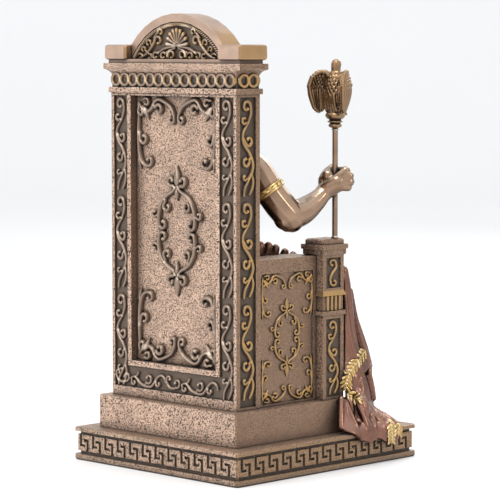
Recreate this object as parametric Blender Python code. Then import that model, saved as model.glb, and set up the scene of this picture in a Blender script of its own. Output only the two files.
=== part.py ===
"""Cold-cast bronze statuette: bearded god on a carved throne, eagle sceptre in the right hand.

The figure faces -Y, the carved back of the throne faces +Y and +X is the figure's left.
The origin is at the middle of the plinth's underside. Lengths are millimetres until the
finished meshes are turned into metres.
"""
import math

import bmesh
import bpy
from mathutils import Matrix, Vector

# Fits between pieces
FIT_GAP = 0.3
MILLIMETRE = 0.001

# Plinth
PLINTH_WIDTH = 135.7
PLINTH_DEPTH = 149.3
PLINTH_FOOT_HEIGHT = 3.5
KEY_BAND_HEIGHT = 13.5
PLINTH_TOP_SLAB = 2.4
PLINTH_CORNER_CUT = 1.2
KEY_INSET = 1.2
KEY_DEPTH = 1.1
KEY_MARGIN = 2.0
KEY_COUNT_BACK = 12
KEY_COUNT_SIDE = 13

# Pedestal under the throne
PEDESTAL_WIDTH = 113.8
PEDESTAL_BACK_Y = 64.7
PEDESTAL_FRONT_Y = -27.6
PEDESTAL_HEIGHT = 19.3

# Throne back
BACK_WIDTH = 102.5
BACK_REAR_Y = 58.8
BACK_THICKNESS = 18.6
BACK_HEIGHT = 176.3
EDGE_STRIP = 2.1
BORDER_WIDTH = 11.2
FRAME_STRIP = 3.0
FRAME_FOOT_EXTRA = 1.5
BORDER_DEPTH = 1.4
PANEL_DEPTH = 4.8
BACK_FOOT_STRIP = 5.6
PANEL_TOP_STRIP = 1.6
SIDE_STRIP = 3.0

# Cornice and arch
NECK_BAND = 3.1
NECK_OVERHANG = 1.2
FRIEZE_HEIGHT = 9.5
FRIEZE_SET_IN = 0.4
FRIEZE_FLARE = 1.6
SHELF_BAND = 4.3
SHELF_OVERHANG = 4.7
SHELF_BEHIND = 1.8
SHELF_FRONT = 2.2
CORNICE_RECESS = 1.8
SHELF_LIP = 2.2
BLOCK_HEIGHT = 8.8
BLOCK_INNER_X = 37.5
ARCH_RISE = 17.6
ARCH_RADIUS = 49.0
ARCH_CORNER_MARGIN = 0.8
ARCH_DEPTH = 13.8
ARCH_SET_IN = 5.0
ARCH_BAND = 4.6
ROPE_RADIUS = 1.15
TYMPANUM_DEPTH = 1.6
ARCH_STEPS = 11
RING_COUNT_BACK = 14
RING_COUNT_SIDE = 2
RING_HEIGHT = 8.4
RING_STRAND = 1.5
SHELL_RAYS = 9
SHELL_RADIUS = 9.2

# Arms, posts and seat
ARM_WIDTH = 20.0
ARM_OUTER_X = 49.5
ARM_TOP_Z = 122.0
ARM_RAIL_HEIGHT = 8.0
ARM_FRONT_Y = -7.8
ARM_PANEL_DEPTH = 1.0
ARM_PANEL_MARGIN = 2.6
POST_WIDTH = 14.2
POST_DEPTH = 17.3
POST_OUTER_X = 54.9
POST_SHAFT_TOP = 121.8
POST_PANEL_DEPTH = 1.0
POST_MARGIN = 2.6
TONGUE_BAND_Z = 87.0
TONGUE_BAND_HEIGHT = 14.7
TONGUES = 4
CAP_FLARE = 1.8
CAP_NECK_HEIGHT = 3.7
CAP_SLAB_HEIGHT = 2.7
CAP_BLOCK_HEIGHT = 3.2
SEAT_TOP_Z = 94.0
SEAT_FRONT_Y = -16.0

# Carved scrolls
STRAND_HALF_WIDTH = 0.95
STRAND_HEIGHT = 1.5
SKIRT = 0.3
STRAND_STEP = 16.0
CURL_TURN = 85.0
CURL_TIGHTENING = 0.4
VINE_REPEAT = 57.0
WAVE_REPEAT = 42.6
WAVE_ENDS = 9.0

# Sceptre and eagle
ROD_RADIUS = 1.6
ROD_FROM_POST_SIDE = 2.3
ROD_FROM_POST_FRONT = 5.2
ROD_SIDES = 14
EAGLE_FOOT_Z = 194.6
EAGLE_TRIANGLES = 420

# Figure
FIGURE_VOXEL = 0.9
FIGURE_TRIANGLES = 1150
SHOULDER_CUT_X = 30.0
WAIST_CUT_Z = 132.0
LEFT_HAND_CUT_Z = 128.0
KNEE_CUT_Z = 90.5
LEGS_CUT_X = -6.0
CLOTH_CUT_X = -47.5
CLOTH_CUT_FRONT_Y = -64.5
CLOTH_CUT_REAR_Y = -12.0
CLOTH_CUT_TOP_Z = 121.0

# Heights worked out from the sizes above
PLINTH_TOP = PLINTH_FOOT_HEIGHT + KEY_BAND_HEIGHT + PLINTH_TOP_SLAB
PEDESTAL_TOP = PLINTH_TOP + PEDESTAL_HEIGHT
BACK_TOP = PEDESTAL_TOP + BACK_HEIGHT
BACK_FRONT_Y = BACK_REAR_Y - BACK_THICKNESS
FRIEZE_FOOT = BACK_TOP + NECK_BAND
SHELF_FOOT = FRIEZE_FOOT + FRIEZE_HEIGHT
SHELF_TOP = SHELF_FOOT + SHELF_BAND
BLOCK_FOOT = SHELF_TOP + CORNICE_RECESS
BLOCK_TOP = BLOCK_FOOT + BLOCK_HEIGHT
SHELF_HALF_WIDTH = BACK_WIDTH / 2 + SHELF_OVERHANG
SHELF_REAR_Y = BACK_REAR_Y + SHELF_BEHIND
SHELF_FRONT_Y = BACK_FRONT_Y - SHELF_FRONT
ARCH_REAR_Y = SHELF_REAR_Y - ARCH_SET_IN
POST_REAR_Y = ARM_FRONT_Y
POST_FRONT_Y = POST_REAR_Y - POST_DEPTH
CAP_TOP = POST_SHAFT_TOP + CAP_NECK_HEIGHT + CAP_SLAB_HEIGHT + CAP_BLOCK_HEIGHT
ROD_X = ROD_FROM_POST_SIDE - POST_OUTER_X
ROD_Y = POST_FRONT_Y + ROD_FROM_POST_FRONT
BORDER_OUTER_X = BACK_WIDTH / 2 - EDGE_STRIP
BORDER_INNER_X = BORDER_OUTER_X - BORDER_WIDTH
PANEL_HALF_WIDTH = BORDER_INNER_X - FRAME_STRIP
BORDER_FOOT_Z = PEDESTAL_TOP + BACK_FOOT_STRIP
PANEL_FOOT_Z = BORDER_FOOT_Z + BORDER_WIDTH + FRAME_STRIP + FRAME_FOOT_EXTRA
PANEL_TOP_Z = BACK_TOP - PANEL_TOP_STRIP


# Mesh helpers

def new_object(name, builder):
    """Link a new object whose mesh is what the bmesh holds."""
    bmesh.ops.recalc_face_normals(builder, faces=builder.faces)
    mesh = bpy.data.meshes.new(name)
    builder.to_mesh(mesh)
    builder.free()
    item = bpy.data.objects.new(name, mesh)
    bpy.context.scene.collection.objects.link(item)
    return item


def drop(item):
    """Remove a helper object and its mesh."""
    mesh = item.data
    bpy.data.objects.remove(item)
    bpy.data.meshes.remove(mesh)


def apply_modifiers(item):
    """Replace the object's mesh with its evaluated one."""
    graph = bpy.context.evaluated_depsgraph_get()
    baked = bpy.data.meshes.new_from_object(item.evaluated_get(graph))
    old = item.data
    item.modifiers.clear()
    item.data = baked
    bpy.data.meshes.remove(old)


def combine(item, other, operation):
    """Apply one exact Boolean and remove the second object."""
    cut = item.modifiers.new("combine", "BOOLEAN")
    cut.operation = operation
    cut.solver = "EXACT"
    cut.use_self = True
    cut.object = other
    apply_modifiers(item)
    drop(other)


def add_box(builder, low, high):
    """Add one box between two corners."""
    size = Vector(high) - Vector(low)
    middle = (Vector(high) + Vector(low)) / 2
    place = Matrix.Translation(middle) @ Matrix.Diagonal((*size, 1.0))
    return bmesh.ops.create_cube(builder, size=1.0, matrix=place)["verts"]


def box_object(name, boxes):
    """Make one object that holds several boxes."""
    builder = bmesh.new()
    for low, high in boxes:
        add_box(builder, low, high)
    return new_object(name, builder)


def rectangle(half_x, half_y, corner):
    """Corners of a rectangle, each cut off where a corner cut is given."""
    outline = []
    for sign_x, sign_y, first in ((1, 1, "y"), (-1, 1, "x"), (-1, -1, "y"), (1, -1, "x")):
        if not corner:
            outline.append((sign_x * half_x, sign_y * half_y))
            continue
        on_x = (sign_x * half_x, sign_y * (half_y - corner))
        on_y = (sign_x * (half_x - corner), sign_y * half_y)
        outline += [on_x, on_y] if first == "y" else [on_y, on_x]
    return outline


def stack_object(name, middle, rings):
    """Skin a stack of rectangles: half width, half depth, height and corner cut."""
    builder = bmesh.new()
    loops = []
    for half_x, half_y, height, corner in rings:
        outline = rectangle(half_x, half_y, corner)
        loops.append([builder.verts.new((middle[0] + x, middle[1] + y, height)) for x, y in outline])
    for lower, upper in zip(loops, loops[1:]):
        count = len(lower)
        for i in range(count):
            j = (i + 1) % count
            builder.faces.new((lower[i], lower[j], upper[j], upper[i]))
    builder.faces.new(reversed(loops[0]))
    builder.faces.new(loops[-1])
    return new_object(name, builder)


def prism_into(builder, outline, place, low, high):
    """Extrude a flat outline from one height to another and place it."""
    foot = [builder.verts.new(place @ Vector((x, y, low))) for x, y in outline]
    top = [builder.verts.new(place @ Vector((x, y, high))) for x, y in outline]
    builder.faces.new(foot)
    builder.faces.new(list(reversed(top)))
    for i in range(len(foot)):
        j = (i + 1) % len(foot)
        builder.faces.new((foot[i], foot[j], top[j], top[i]))


def panel_frame(origin, across, outward):
    """Place a flat drawing: X runs across, Y runs up and Z points out of the wall."""
    across = Vector(across).normalized()
    outward = Vector(outward).normalized()
    up = outward.cross(across)
    turn = Matrix((across, up, outward)).transposed()
    return Matrix.Translation(Vector(origin)) @ turn.to_4x4()


# Scroll drawing

def spline(points, step):
    """Run an even Catmull-Rom curve through the points."""
    points = [Vector(point) for point in points]
    padded = [2 * points[0] - points[1]] + points + [2 * points[-1] - points[-2]]
    out = [points[0]]
    for a, b, c, d in zip(padded, padded[1:], padded[2:], padded[3:]):
        pieces = max(1, round((c - b).length / step))
        for i in range(1, pieces + 1):
            t = i / pieces
            out.append(
                ((2 * b) + (c - a) * t + (2 * a - 5 * b + 4 * c - d) * t * t
                 + (3 * b - a - 3 * c + d) * t * t * t) / 2
            )
    return out


def curl(centre, radius, start, sweep):
    """Points of a spiral that winds in from its outer radius, angles in degrees."""
    count = max(2, round(abs(sweep) / CURL_TURN))
    out = []
    for i in range(count + 1):
        share = i / count
        angle = math.radians(start + sweep * share)
        reach = radius * (1.0 - CURL_TIGHTENING * share)
        out.append((centre[0] + reach * math.cos(angle), centre[1] + reach * math.sin(angle)))
    return out


def strand_into(builder, points, half_width, height, place, taper=0.45):
    """Add a raised strand with a ridge section; its skirt goes a little into the wall."""
    path = [Vector((point[0], point[1])) for point in points]
    last = len(path) - 1
    stations = []
    for i, point in enumerate(path):
        along = (path[min(i + 1, last)] - path[max(i - 1, 0)]).normalized()
        side = Vector((-along.y, along.x))
        size = 1.0 - taper * abs(2 * i / last - 1.0) ** 2
        reach = side * half_width * size
        rise = height * (0.6 + 0.4 * size)
        section = ((point + reach, -SKIRT), (point + reach, 0.0), (point, rise),
                   (point - reach, 0.0), (point - reach, -SKIRT))
        stations.append([builder.verts.new(place @ Vector((*flat, out))) for flat, out in section])
    for near, far in zip(stations, stations[1:]):
        count = len(near)
        for i in range(count):
            j = (i + 1) % count
            builder.faces.new((near[i], near[j], far[j], far[i]))
    builder.faces.new(stations[0])
    builder.faces.new(list(reversed(stations[-1])))


def bud_into(builder, middle, half_width, half_height, height, place):
    """Add a raised diamond-shaped bud."""
    outline = ((half_width, 0), (0, half_height), (-half_width, 0), (0, -half_height))
    top = builder.verts.new(place @ Vector((middle[0], middle[1], height)))
    loops = []
    for out in (-SKIRT, 0.0):
        corners = [Vector((middle[0] + x, middle[1] + y, out)) for x, y in outline]
        loops.append([builder.verts.new(place @ corner) for corner in corners])
    builder.faces.new(list(reversed(loops[0])))
    for i in range(4):
        j = (i + 1) % 4
        builder.faces.new((loops[0][i], loops[0][j], loops[1][j], loops[1][i]))
        builder.faces.new((loops[1][i], loops[1][j], top))


class Scrolls:
    """Collects the strands of one wall in one mesh; drawings scale and mirror."""

    def __init__(self, place, scale=(1.0, 1.0), shift=(0.0, 0.0), height=STRAND_HEIGHT,
                 width=STRAND_HALF_WIDTH):
        self.builder = bmesh.new()
        self.place = place
        self.scale = scale
        self.shift = shift
        self.height = height
        self.width = width

    def at(self, scale, shift):
        """Set where the next drawing goes and how large it is."""
        self.scale = scale
        self.shift = shift

    def point(self, point):
        return (self.shift[0] + point[0] * self.scale[0], self.shift[1] + point[1] * self.scale[1])

    def stroke(self, stem, end=None, start=None, thick=1.0):
        """A stem through its points, wound into a curl at its end and start where given."""
        points = list(reversed(curl(*start))) if start else []
        points += list(stem)
        if end:
            points += curl(*end)
        points = [self.point(point) for point in points]
        path = spline(points, STRAND_STEP)
        strand_into(self.builder, path, self.width * thick, self.height, self.place)

    def bud(self, middle, half_width, half_height):
        reach = (half_width * abs(self.scale[0]), half_height * abs(self.scale[1]))
        bud_into(self.builder, self.point(middle), *reach, self.height * 1.25, self.place)

    def carve_on(self, item):
        """Raise the collected strands on the object."""
        combine(item, new_object("scrolls", self.builder), "UNION")


# Scroll drawings, in millimetres at full size

def draw_vine_repeat(scrolls, with_tail):
    """One repeat of the climbing vine: a top loop, a winding stem and its two side curls."""
    scrolls.stroke([(2.9, -8.0), (0.6, -13.4), (-3.6, -13.6)], start=((-0.8, -4.6), 3.2, 20, 250))
    tail = [(4.8, -38.0), (-4.4, -47.6)] if with_tail else [(4.4, -36.0)]
    scrolls.stroke([(-2.4, -16.6), (-3.6, -24.0)] + tail)
    scrolls.stroke([], ((1.4, -22.6), 2.8, 190, 250))
    scrolls.stroke([], ((-1.6, -36.4), 2.9, -10, -250))


def draw_vine(scrolls, repeats, width_scale, top, short_last):
    """Climbing vine, drawn downwards from its top loop."""
    for i in range(repeats):
        scrolls.at((width_scale, 1.0), (0.0, top - i * VINE_REPEAT))
        draw_vine_repeat(scrolls, not (short_last and i == repeats - 1))


def draw_corner(scrolls):
    """Scrolls that spring from the corner at the drawing's origin."""
    scrolls.stroke([(4.6, 5.6), (9.4, 8.2), (17.0, 2.6), (28.0, 5.0)], ((30.0, 12.2), 2.8, -20, 200))
    scrolls.stroke([(3.2, 8.4), (1.9, 22.0), (5.0, 38.0)], ((10.6, 37.4), 2.9, 150, -200))
    scrolls.stroke([], ((19.2, 8.2), 2.8, 200, 250))
    scrolls.stroke([], ((7.2, 25.4), 2.6, 160, -250))
    scrolls.bud((8.8, 12.6), 1.7, 2.4)


def draw_cartouche(scrolls, middle, scale):
    """Oval of scrolls, four mirrored quarters with a bud above and below."""
    for side in (1, -1):
        for rise in (1, -1):
            scrolls.at((side * scale[0], rise * scale[1]), middle)
            scrolls.stroke([(1.2, 23.4), (9.4, 21.2), (14.6, 11.0)], ((10.8, 3.8), 3.0, -30, -180))
            scrolls.stroke([], ((8.4, 15.0), 2.8, 40, -250))
            scrolls.stroke([], ((5.4, 27.2), 2.5, 250, 250))
    for rise in (1, -1):
        scrolls.at((scale[0], rise * scale[1]), middle)
        scrolls.bud((0.0, 30.6), 2.2, 5.6)


def draw_wave(scrolls, span):
    """Running wave along the foot of the throne back, as many repeats as fit its span."""
    repeats = int(span / WAVE_REPEAT)
    for i in range(repeats):
        scrolls.at((1.0, 1.0), ((i - repeats / 2) * WAVE_REPEAT, 0.0))
        scrolls.stroke([(0.6, 3.4), (1.6, -2.8)], ((6.2, 0.2), 3.0, 270, 250))
        scrolls.stroke([(12.2, 0.6), (19.6, -3.6)], ((25.2, 0.2), 3.4, 270, 250))
        scrolls.stroke([(31.2, -1.8), (35.4, 3.0), (40.6, -0.6)])


# Plinth

def make_plinth():
    """Stepped slab with a raised key pattern on its four sides."""
    half_x = PLINTH_WIDTH / 2
    half_y = PLINTH_DEPTH / 2
    face = KEY_INSET
    ground = KEY_INSET + KEY_DEPTH
    band_foot = PLINTH_FOOT_HEIGHT
    band_top = band_foot + KEY_BAND_HEIGHT
    corner = PLINTH_CORNER_CUT

    def ring(inset, height, cut=corner):
        return (half_x - inset, half_y - inset, height, cut)

    plinth = stack_object("plinth", (0, 0), [
        ring(0.9, 0.0), ring(0.0, 0.9), ring(0.0, band_foot), ring(ground, band_foot),
        ring(ground, band_foot + KEY_MARGIN), ring(face, band_foot + KEY_MARGIN),
        ring(face, band_top - KEY_MARGIN), ring(ground, band_top - KEY_MARGIN),
        ring(ground, band_top), ring(0.0, band_top), ring(0.0, PLINTH_TOP - 0.6),
        ring(0.6, PLINTH_TOP),
    ])
    cutter = bmesh.new()
    height = KEY_BAND_HEIGHT - 2 * KEY_MARGIN
    foot = band_foot + KEY_MARGIN
    walls = (
        (KEY_COUNT_BACK, half_x - face, (0, half_y - face), (-1, 0, 0), (0, 1, 0)),
        (KEY_COUNT_BACK, half_x - face, (0, face - half_y), (1, 0, 0), (0, -1, 0)),
        (KEY_COUNT_SIDE, half_y - face, (half_x - face, 0), (0, 1, 0), (1, 0, 0)),
        (KEY_COUNT_SIDE, half_y - face, (face - half_x, 0), (0, -1, 0), (-1, 0, 0)),
    )
    for keys, half_run, middle, across, outward in walls:
        place = panel_frame((*middle, foot), across, outward)
        margin = 2.2 * corner
        pitch = 2 * (half_run - margin) / keys
        for i in range(keys):
            left = margin - half_run + i * pitch
            key_groove_into(cutter, place, left, pitch, height)
    combine(plinth, new_object("key_grooves", cutter), "DIFFERENCE")
    return plinth


def key_groove_into(builder, place, left, pitch, height):
    """Two interlocked hooks of groove: one from the top, one from the foot."""
    past = 0.5
    from_top = ((0.0, 1.0 + past / height), (0.0, 0.26), (0.43, 0.26), (0.43, 0.42),
                (0.18, 0.42), (0.18, 1.0 + past / height))
    from_foot = ((0.55, -past / height), (0.73, -past / height), (0.73, 0.75), (0.31, 0.75),
                 (0.31, 0.59), (0.55, 0.59))
    for hook in (from_top, from_foot):
        outline = [(left + x * pitch, y * height) for x, y in hook]
        prism_into(builder, outline, place, -KEY_DEPTH, 0.5)


# Throne

def throne_body():
    """Pedestal, back, cornice, arms, posts and seat as one casting."""
    half = PEDESTAL_WIDTH / 2
    middle_y = (PEDESTAL_BACK_Y + PEDESTAL_FRONT_Y) / 2
    half_y = (PEDESTAL_BACK_Y - PEDESTAL_FRONT_Y) / 2
    foot = PLINTH_TOP + FIT_GAP
    body = stack_object("throne", (0, middle_y), [
        (half, half_y, foot, 0.8), (half, half_y, PEDESTAL_TOP - 0.5, 0.8),
        (half - 0.5, half_y - 0.5, PEDESTAL_TOP, 0.8),
    ])
    sunk = 1.0
    back_half = BACK_WIDTH / 2
    combine(body, box_object("back", [
        ((-back_half, BACK_FRONT_Y, PEDESTAL_TOP - sunk), (back_half, BACK_REAR_Y, BACK_TOP + sunk)),
    ]), "UNION")
    combine(body, cornice_bands(), "UNION")
    for side in (-1, 1):
        combine(body, arm_and_post(side), "UNION")
    seat_half = POST_OUTER_X - POST_WIDTH
    combine(body, box_object("seat", [
        ((-seat_half - sunk, SEAT_FRONT_Y, PEDESTAL_TOP - sunk),
         (seat_half + sunk, BACK_FRONT_Y + sunk, SEAT_TOP_Z)),
    ]), "UNION")
    return body


def cornice_bands():
    """Neck band, hollow frieze, shelf and recess, from below upwards."""
    middle_y = (BACK_REAR_Y + BACK_FRONT_Y) / 2
    half_x = BACK_WIDTH / 2
    half_y = BACK_THICKNESS / 2
    rings = [(half_x + NECK_OVERHANG, half_y + NECK_OVERHANG, BACK_TOP, 0),
             (half_x + NECK_OVERHANG, half_y + NECK_OVERHANG, FRIEZE_FOOT, 0)]
    for height, grow in ((0.0, 0.0), (FRIEZE_HEIGHT - 1.4, 0.0), (FRIEZE_HEIGHT, FRIEZE_FLARE)):
        inset = FRIEZE_SET_IN - grow
        rings.append((half_x - inset, half_y - inset, FRIEZE_FOOT + height, 0))
    shelf_x = SHELF_HALF_WIDTH
    shelf_y = half_y + (SHELF_BEHIND + SHELF_FRONT) / 2
    rings.append((shelf_x, shelf_y, SHELF_FOOT + 1.0, 0))
    rings.append((shelf_x, shelf_y, SHELF_TOP, 0))
    rings.append((shelf_x - SHELF_LIP, shelf_y - SHELF_LIP, SHELF_TOP, 0))
    rings.append((shelf_x - SHELF_LIP, shelf_y - SHELF_LIP, BLOCK_FOOT + 0.5, 0))
    return stack_object("cornice", (0, middle_y), rings)


def arm_and_post(side):
    """One arm wall with its rail, and the post with its banded cap."""
    sunk = 1.0
    outer = side * ARM_OUTER_X
    inner = side * (ARM_OUTER_X - ARM_WIDTH)
    low_x, high_x = min(outer, inner), max(outer, inner)
    arm = box_object("arm", [
        ((low_x, ARM_FRONT_Y - sunk, PEDESTAL_TOP - sunk), (high_x, BACK_FRONT_Y + sunk, ARM_TOP_Z)),
    ])
    middle = (side * (POST_OUTER_X - POST_WIDTH / 2), (POST_REAR_Y + POST_FRONT_Y) / 2)
    half = (POST_WIDTH / 2, POST_DEPTH / 2)
    neck = POST_SHAFT_TOP + CAP_NECK_HEIGHT
    slab = neck + CAP_SLAB_HEIGHT
    band = TONGUE_BAND_Z
    band_top = band + TONGUE_BAND_HEIGHT

    def ring(grow, height):
        return (half[0] + grow, half[1] + grow, height, 0)

    post = stack_object("post", middle, [
        ring(0.0, PEDESTAL_TOP - sunk), ring(0.0, band), ring(0.9, band + 0.6),
        ring(0.9, band + 2.9), ring(-0.4, band + 2.9), ring(-0.4, band_top - 2.9),
        ring(1.1, band_top - 2.9), ring(0.0, band_top),
        ring(0.0, POST_SHAFT_TOP), ring(1.0, POST_SHAFT_TOP + 0.8), ring(1.0, neck),
        ring(CAP_FLARE, neck), ring(CAP_FLARE, slab), ring(0.0, slab),
        ring(0.0, CAP_TOP - 0.9), ring(-0.9, CAP_TOP),
    ])
    combine(post, arm, "UNION")
    return post


def sink_panels(body):
    """Cut the border channels and the panels on the back, sides, arms and posts."""
    back = BACK_REAR_Y
    past = 1.0
    top = PANEL_TOP_Z
    boxes = [((-PANEL_HALF_WIDTH, back - PANEL_DEPTH, PANEL_FOOT_Z), (PANEL_HALF_WIDTH, back + past, top))]
    frame_foot = PANEL_FOOT_Z - FRAME_STRIP
    for side in (-1, 1):
        inner = side * BORDER_INNER_X
        outer = side * BORDER_OUTER_X
        boxes.append(((min(inner, outer), back - BORDER_DEPTH, BORDER_FOOT_Z),
                      (max(inner, outer), back + past, top)))
    boxes.append(((-BORDER_INNER_X - past, back - BORDER_DEPTH, BORDER_FOOT_Z),
                  (BORDER_INNER_X + past, back + past, frame_foot)))
    for side in (-1, 1):
        boxes.append(side_box(side, BACK_WIDTH / 2, BORDER_DEPTH,
                              (BACK_FRONT_Y + SIDE_STRIP, BACK_REAR_Y - SIDE_STRIP),
                              (PEDESTAL_TOP + 1.6, top)))
        boxes.append(side_box(side, ARM_OUTER_X, ARM_PANEL_DEPTH,
                              (ARM_FRONT_Y + ARM_PANEL_MARGIN, BACK_FRONT_Y - ARM_PANEL_MARGIN),
                              (PEDESTAL_TOP + 1.4, ARM_TOP_Z - ARM_RAIL_HEIGHT)))
        across = (POST_FRONT_Y + POST_MARGIN, POST_REAR_Y - POST_MARGIN)
        boxes.append(side_box(side, POST_OUTER_X, POST_PANEL_DEPTH, across,
                              (PEDESTAL_TOP + 1.6, TONGUE_BAND_Z - 1.6)))
        boxes.append(side_box(side, POST_OUTER_X, POST_PANEL_DEPTH, across,
                              (TONGUE_BAND_Z + TONGUE_BAND_HEIGHT + 1.4, POST_SHAFT_TOP - 1.2)))
    combine(body, box_object("panels", boxes), "DIFFERENCE")


def side_box(side, face_x, depth, across, heights):
    """A shallow box cut into a wall that faces sideways."""
    inner = side * (face_x - depth)
    outer = side * (face_x + 1.0)
    return ((min(inner, outer), across[0], heights[0]), (max(inner, outer), across[1], heights[1]))


def add_cornice_blocks(body):
    """Two rounded blocks on the shelf, at the foot of the arch."""
    middle_y = (SHELF_REAR_Y + SHELF_FRONT_Y) / 2
    half_y = (SHELF_REAR_Y - SHELF_FRONT_Y) / 2
    half_x = (SHELF_HALF_WIDTH - BLOCK_INNER_X) / 2
    for side in (-1, 1):
        centre = (side * (BLOCK_INNER_X + half_x), middle_y)
        block = stack_object("block", centre, [
            (half_x - 0.9, half_y - 0.9, BLOCK_FOOT, 0), (half_x, half_y, BLOCK_FOOT + 0.9, 0),
            (half_x, half_y, BLOCK_TOP - 0.9, 0), (half_x - 0.9, half_y - 0.9, BLOCK_TOP, 0),
        ])
        combine(body, block, "UNION")


def arch_arc(inset, half_span):
    """Points of an arc inside the arch's outer edge, from its left end to its right."""
    reach = ARCH_RADIUS - inset
    centre_z = BLOCK_TOP + ARCH_RISE - ARCH_RADIUS
    limit = math.asin(half_span / reach)
    angles = [limit * (2 * i / ARCH_STEPS - 1) for i in range(ARCH_STEPS + 1)]
    return [(reach * math.sin(angle), centre_z + reach * math.cos(angle)) for angle in angles]


def arch_outline(inset, half_span, foot):
    """The arc closed by two upright sides down to its foot."""
    return [(half_span, foot), (-half_span, foot)] + arch_arc(inset, half_span)


def add_arch(body):
    """Arched top with a sunk tympanum, a rope moulding, a shell and scrolls."""
    place = panel_frame((0, ARCH_REAR_Y, 0), (-1, 0, 0), (0, 1, 0))
    builder = bmesh.new()
    outline = arch_outline(0.0, BLOCK_INNER_X + 0.5, SHELF_TOP - 0.4)
    prism_into(builder, outline, place, -ARCH_DEPTH, 0.0)
    combine(body, new_object("arch", builder), "UNION")
    builder = bmesh.new()
    half_span = BLOCK_INNER_X - ARCH_CORNER_MARGIN
    outline = arch_outline(ARCH_BAND, half_span, SHELF_TOP + 1.0)
    prism_into(builder, outline, place, -TYMPANUM_DEPTH, 1.0)
    combine(body, new_object("tympanum", builder), "DIFFERENCE")
    ground = panel_frame((0, ARCH_REAR_Y - TYMPANUM_DEPTH, 0), (-1, 0, 0), (0, 1, 0))
    relief = Scrolls(ground, height=1.7, width=0.85)
    rope = arch_arc(ARCH_BAND + ROPE_RADIUS, half_span - 2.0)
    strand_into(relief.builder, rope, ROPE_RADIUS * 0.8, 1.3, ground, taper=0.0)
    draw_shell(relief)
    draw_tympanum(relief)
    relief.carve_on(body)


def draw_shell(scrolls):
    """Fan of rays over a short stem."""
    root = (0.0, BLOCK_TOP - 0.6)
    for i in range(SHELL_RAYS):
        angle = math.radians(8 + (180 - 16) * i / (SHELL_RAYS - 1))
        tip = Vector((math.cos(angle) * SHELL_RADIUS * 0.9, math.sin(angle) * SHELL_RADIUS))
        side = Vector((-tip.y, tip.x)).normalized()
        low = Vector(root) + tip * 0.16
        high = Vector(root) + tip
        outline = (low - side * 0.3, high - side * 1.2, high + side * 1.2, low + side * 0.3)
        prism_into(scrolls.builder, outline, scrolls.place, -SKIRT, scrolls.height)


def draw_tympanum(scrolls):
    """Scroll pairs under and beside the shell."""
    foot = SHELF_TOP + 1.2
    for side in (-1, 1):
        scrolls.at((side, 1.0), (0.0, foot))
        scrolls.stroke([(1.0, 8.4), (7.0, 7.4), (16.0, 3.0)])
        scrolls.stroke([(9.4, 1.4)], ((4.4, 3.2), 2.6, -70, -250))
        scrolls.stroke([(27.0, 1.6), (18.4, 7.4)], ((13.8, 10.4), 3.0, -100, -200))


def carve_back(body):
    """Vines, wave, corner scrolls and cartouche on the back wall."""
    border = BACK_REAR_Y - BORDER_DEPTH
    width_scale = BORDER_WIDTH / 13.2
    for side in (-1, 1):
        middle = side * (BORDER_INNER_X + BORDER_OUTER_X) / 2
        column = Scrolls(panel_frame((middle, border, 0), (-1, 0, 0), (0, 1, 0)))
        draw_vine(column, 3, width_scale, PANEL_TOP_Z - 0.6, True)
        column.carve_on(body)
    middle_z = (BORDER_FOOT_Z + PANEL_FOOT_Z - FRAME_STRIP) / 2
    wave = Scrolls(panel_frame((0, border, middle_z), (-1, 0, 0), (0, 1, 0)))
    draw_wave(wave, 2 * BORDER_OUTER_X - WAVE_ENDS)
    wave.carve_on(body)
    ground = panel_frame((0, BACK_REAR_Y - PANEL_DEPTH, 0), (-1, 0, 0), (0, 1, 0))
    panel = Scrolls(ground, height=2.0)
    for side in (-1, 1):
        for rise, corner_z in ((1, PANEL_FOOT_Z), (-1, PANEL_TOP_Z)):
            panel.at((-side, rise), (side * PANEL_HALF_WIDTH, corner_z))
            draw_corner(panel)
    draw_cartouche(panel, (0.0, (PANEL_FOOT_Z + PANEL_TOP_Z) / 2), (1.0, 1.0))
    panel.carve_on(body)


def carve_sides(body):
    """Ovals and corner scrolls on both arms, vines on the sceptre side only."""
    for side in (-1, 1):
        across = (0, side, 0)
        outward = (side, 0, 0)
        middle = (ARM_FRONT_Y + BACK_FRONT_Y) / 2
        half_run = (BACK_FRONT_Y - ARM_FRONT_Y) / 2 - ARM_PANEL_MARGIN
        ground = panel_frame((side * (ARM_OUTER_X - ARM_PANEL_DEPTH), middle, 0), across, outward)
        arm = Scrolls(ground, height=ARM_PANEL_DEPTH, width=0.7)
        low = PEDESTAL_TOP + 1.4
        high = ARM_TOP_Z - ARM_RAIL_HEIGHT
        for end in (-1, 1):
            for rise, corner_z in ((1, low), (-1, high)):
                arm.at((-end * 0.56, rise * 0.5), (end * half_run, corner_z))
                draw_small_corner(arm)
        draw_small_cartouche(arm, (0.0, (low + high) / 2), (0.64, 0.54))
        arm.carve_on(body)
        middle = (POST_FRONT_Y + POST_REAR_Y) / 2
        ground = panel_frame((side * (POST_OUTER_X - POST_PANEL_DEPTH), middle, 0), across, outward)
        post = Scrolls(ground, height=POST_PANEL_DEPTH, width=0.7)
        draw_tongues(post)
        if side < 0:
            post.at((0.8, 0.8), (0.0, TONGUE_BAND_Z - 2.0))
            draw_vine_repeat(post, True)
            post.at((0.72, 0.62), (0.0, POST_SHAFT_TOP - 1.6))
            draw_post_hook(post)
        post.carve_on(body)
    middle = (BACK_FRONT_Y + BACK_REAR_Y) / 2
    ground = panel_frame((BORDER_DEPTH - BACK_WIDTH / 2, middle, 0), (0, -1, 0), (-1, 0, 0))
    column = Scrolls(ground)
    draw_vine(column, 3, 1.0, PANEL_TOP_Z - 0.8, False)
    column.carve_on(body)


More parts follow.
